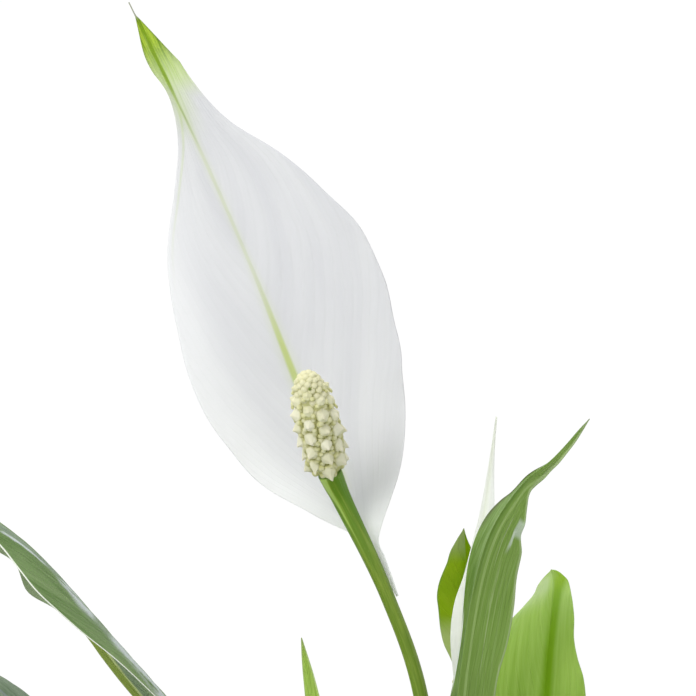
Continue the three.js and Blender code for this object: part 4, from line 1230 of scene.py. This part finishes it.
# The looks dark and mid are for the whorls, and the others are each for the leaf of that name.
leaf_looks = {
    "dark": leaf_look(
        "leaf_dark", (50, 84, 36), (80, 116, 54), (94, 128, 64), (138, 168, 84), (120, 168, 40),
        shine=0.36, gloss=0.4,
    ),
    "mid": leaf_look(
        "leaf_mid", (72, 108, 44), (112, 146, 76), (116, 148, 84), (150, 180, 104), (140, 184, 60),
    ),
    "leaf_tall": leaf_look(
        "leaf_tall", (72, 108, 44), (136, 164, 84), (104, 136, 52), (164, 190, 118), (140, 184, 60),
        margin=(206, 218, 176), edge=0.4, streak=0.9, shine=0.5, gloss=0.25, rib_shift=1,
        rib_width=0.26, rib_reach=0.8, fineness=2, contrast=0.06, depth=0.05, fold=0.5,
        # The pale tint of a curled margin, partly painted highlight.
        curl_and_highlight=(198, 210, 192),
    ),
    "leaf_back": leaf_look(
        "leaf_back", (134, 164, 8), (158, 182, 36), (144, 176, 6), (126, 162, 6), (170, 206, 10),
        share=0.4, margin=(120, 150, 70), shine=0.6, gloss=0.1, rib_width=3, rib_reach=0.95,
        contrast=0.12, depth=0.06,
        bands=[(0.86, 1.1, 0.1, (160, 176, 120), 0.7), (0.62, 0.76, 0, (112, 150, 0), 0.4),
               (-0.1, 0.48, 0, (186, 200, 140), 0.75)],
    ),
    "leaf_right": leaf_look(
        "leaf_right", (132, 168, 56), (168, 198, 96), (146, 184, 68), (124, 168, 0), (180, 214, 60),
        share=0.4, margin=(150, 176, 100), streak=0.9, shine=0.6, gloss=0.22, rib_width=2.7,
        rib_reach=0.99, rib_shift=-0.9, rib_turn=-1.8, contrast=0.08, depth=0.05,
        # The second band's whitish tint is a painted highlight on the side where u is above 0.
        bands=[(0.76, 1.1, -0.25, (140, 178, 0), 0.95), (0.74, 0.9, 0.3, (196, 210, 170), 0.5)],
    ),
    "leaf_young": leaf_look(
        "leaf_young", (166, 200, 70), (196, 220, 116), (180, 210, 96), (190, 212, 130),
        (180, 214, 60), share=0.4, margin=(214, 222, 170), shine=0.5,
    ),
    # Its lilac-grey rib and margin tints, which also colour its pale streaks, are a painted glossy
    # highlight.
    "leaf_left_low": leaf_look(
        "leaf_low", (72, 96, 64), (126, 144, 118), (96, 118, 78), (150, 158, 160), (104, 140, 50),
        margin=(184, 190, 198), edge=0.3, shine=0.5, gloss=0.16, streak=1.4, fineness=0.7,
        contrast=0.2, depth=0.08,
    ),
    # Its near-white margin is a pale margin brightened into a painted rim light, and its pale blue-white
    # tint at the end is a painted highlight band.
    "leaf_left": leaf_look(
        "leaf_arching", (80, 110, 52), (134, 156, 106), (128, 150, 78), (150, 166, 134), (120, 168, 40),
        margin=(250, 252, 240), edge=1, shine=0.5, gloss=0.16, streak=0.7, rib_width=1.1,
        margin_width=0.32, contrast=0.2, depth=0.08, painted_sheen=(222, 226, 232),
    ),
}
leaves = [*STANDING_LEAVES, *(leaf for whorl in WHORLS for leaf in whorl_leaves(*whorl))]
for leaf in leaves:
    usual = leaf_looks["mid" if "inner" in leaf.name else "dark"]
    leaf_piece(leaf, leaf_looks.get(leaf.name, usual))

spathe_whites = [
    spathe_look("open_spathe_white", (217, 217, 219), (223, 223, 224), 1.3, 0.78, 0.9),
    spathe_look("young_spathe_white", (246, 247, 242), (250, 251, 247), 0.7, 0.12, 1.3),
]
flower_green = stalk_look()
cream = spadix_look()
for bloom, white in zip(BLOOMS, spathe_whites):
    round_stalk(bloom, flower_green)
    spathe_piece(bloom, white)
    spadix_piece(bloom, cream)

# Where each stalk stands at the soil's surface.
mouths = []
for points in [leaf.points for leaf in leaves] + [bloom.stalk for bloom in BLOOMS]:
    line = Path(points).at(np.linspace(0, 0.6, 240))
    mouths.append(tuple(line[np.argmin(np.abs(line[:, 2] - SOIL_TOP))][:2]))

pot_piece(clay_look())
soil_piece(mouths, soil_look(), perlite_look())


# Floor, lights and camera

bpy.ops.mesh.primitive_circle_add(vertices=160, radius=3.0, fill_type="NGON")
floor = bpy.context.object
floor.name = "floor"
floor.data.materials.append(floor_look())
floor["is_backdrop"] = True

scene = bpy.context.scene
scene.world = bpy.data.worlds.new("studio")
scene.world.use_nodes = True
nodes, links = scene.world.node_tree.nodes, scene.world.node_tree.links
nodes.clear()
blend = nodes.new("ShaderNodeMixShader")
links.new(nodes.new("ShaderNodeLightPath").outputs["Is Camera Ray"], blend.inputs[0])
links.new(blend.outputs[0], nodes.new("ShaderNodeOutputWorld").inputs["Surface"])
for place, color, strength in ((1, (0.97, 0.985, 1, 1), 0.92), (2, (1, 1, 1, 1), 1.02)):
    background = nodes.new("ShaderNodeBackground")
    background.inputs["Color"].default_value = color
    background.inputs["Strength"].default_value = strength
    links.new(background.outputs[0], blend.inputs[place])


def soft_light(name, place, aim, size, power):
    """A square light of a size and power, turned towards aim."""
    data = bpy.data.lights.new(name, "AREA")
    data.shape = "SQUARE"
    data.size = size
    data.energy = power
    light = bpy.data.objects.new(name, data)
    light.location = place
    light.rotation_euler = (Vector(aim) - Vector(place)).to_track_quat("-Z", "Y").to_euler()
    scene.collection.objects.link(light)


soft_light("key", (-1.2, -1.5, 1.3), (-0.02, 0, 0.25), 1.1, 20)
soft_light("back", (-0.7, 1.6, 1.2), (0, 0, 0.25), 1.2, 18)
soft_light("top", (-0.2, 0.2, 2.0), (0, 0, 0.2), 1.2, 16)

FRAME_WIDE = 160.08 * MM
DISTANCE = 1.4
SENSOR = 36
camera_data = bpy.data.cameras.new("camera")
camera_data.sensor_width = SENSOR
camera_data.lens = SENSOR * DISTANCE / FRAME_WIDE
camera_data.clip_start = 0.05
camera_data.clip_end = 50
camera = bpy.data.objects.new("camera", camera_data)
camera.location = (-0.02, -DISTANCE, 0.341)
camera.rotation_euler = (math.radians(90), 0, 0)
scene.collection.objects.link(camera)
scene.camera = camera
scene.view_settings.view_transform = "Standard"
scene.view_settings.look = "None"

looks_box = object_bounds()
plain = lambda box: [[round(float(c), 6) for c in corner] for corner in box]
{"cad": plain(cad_box), "looks": plain(looks_box)}
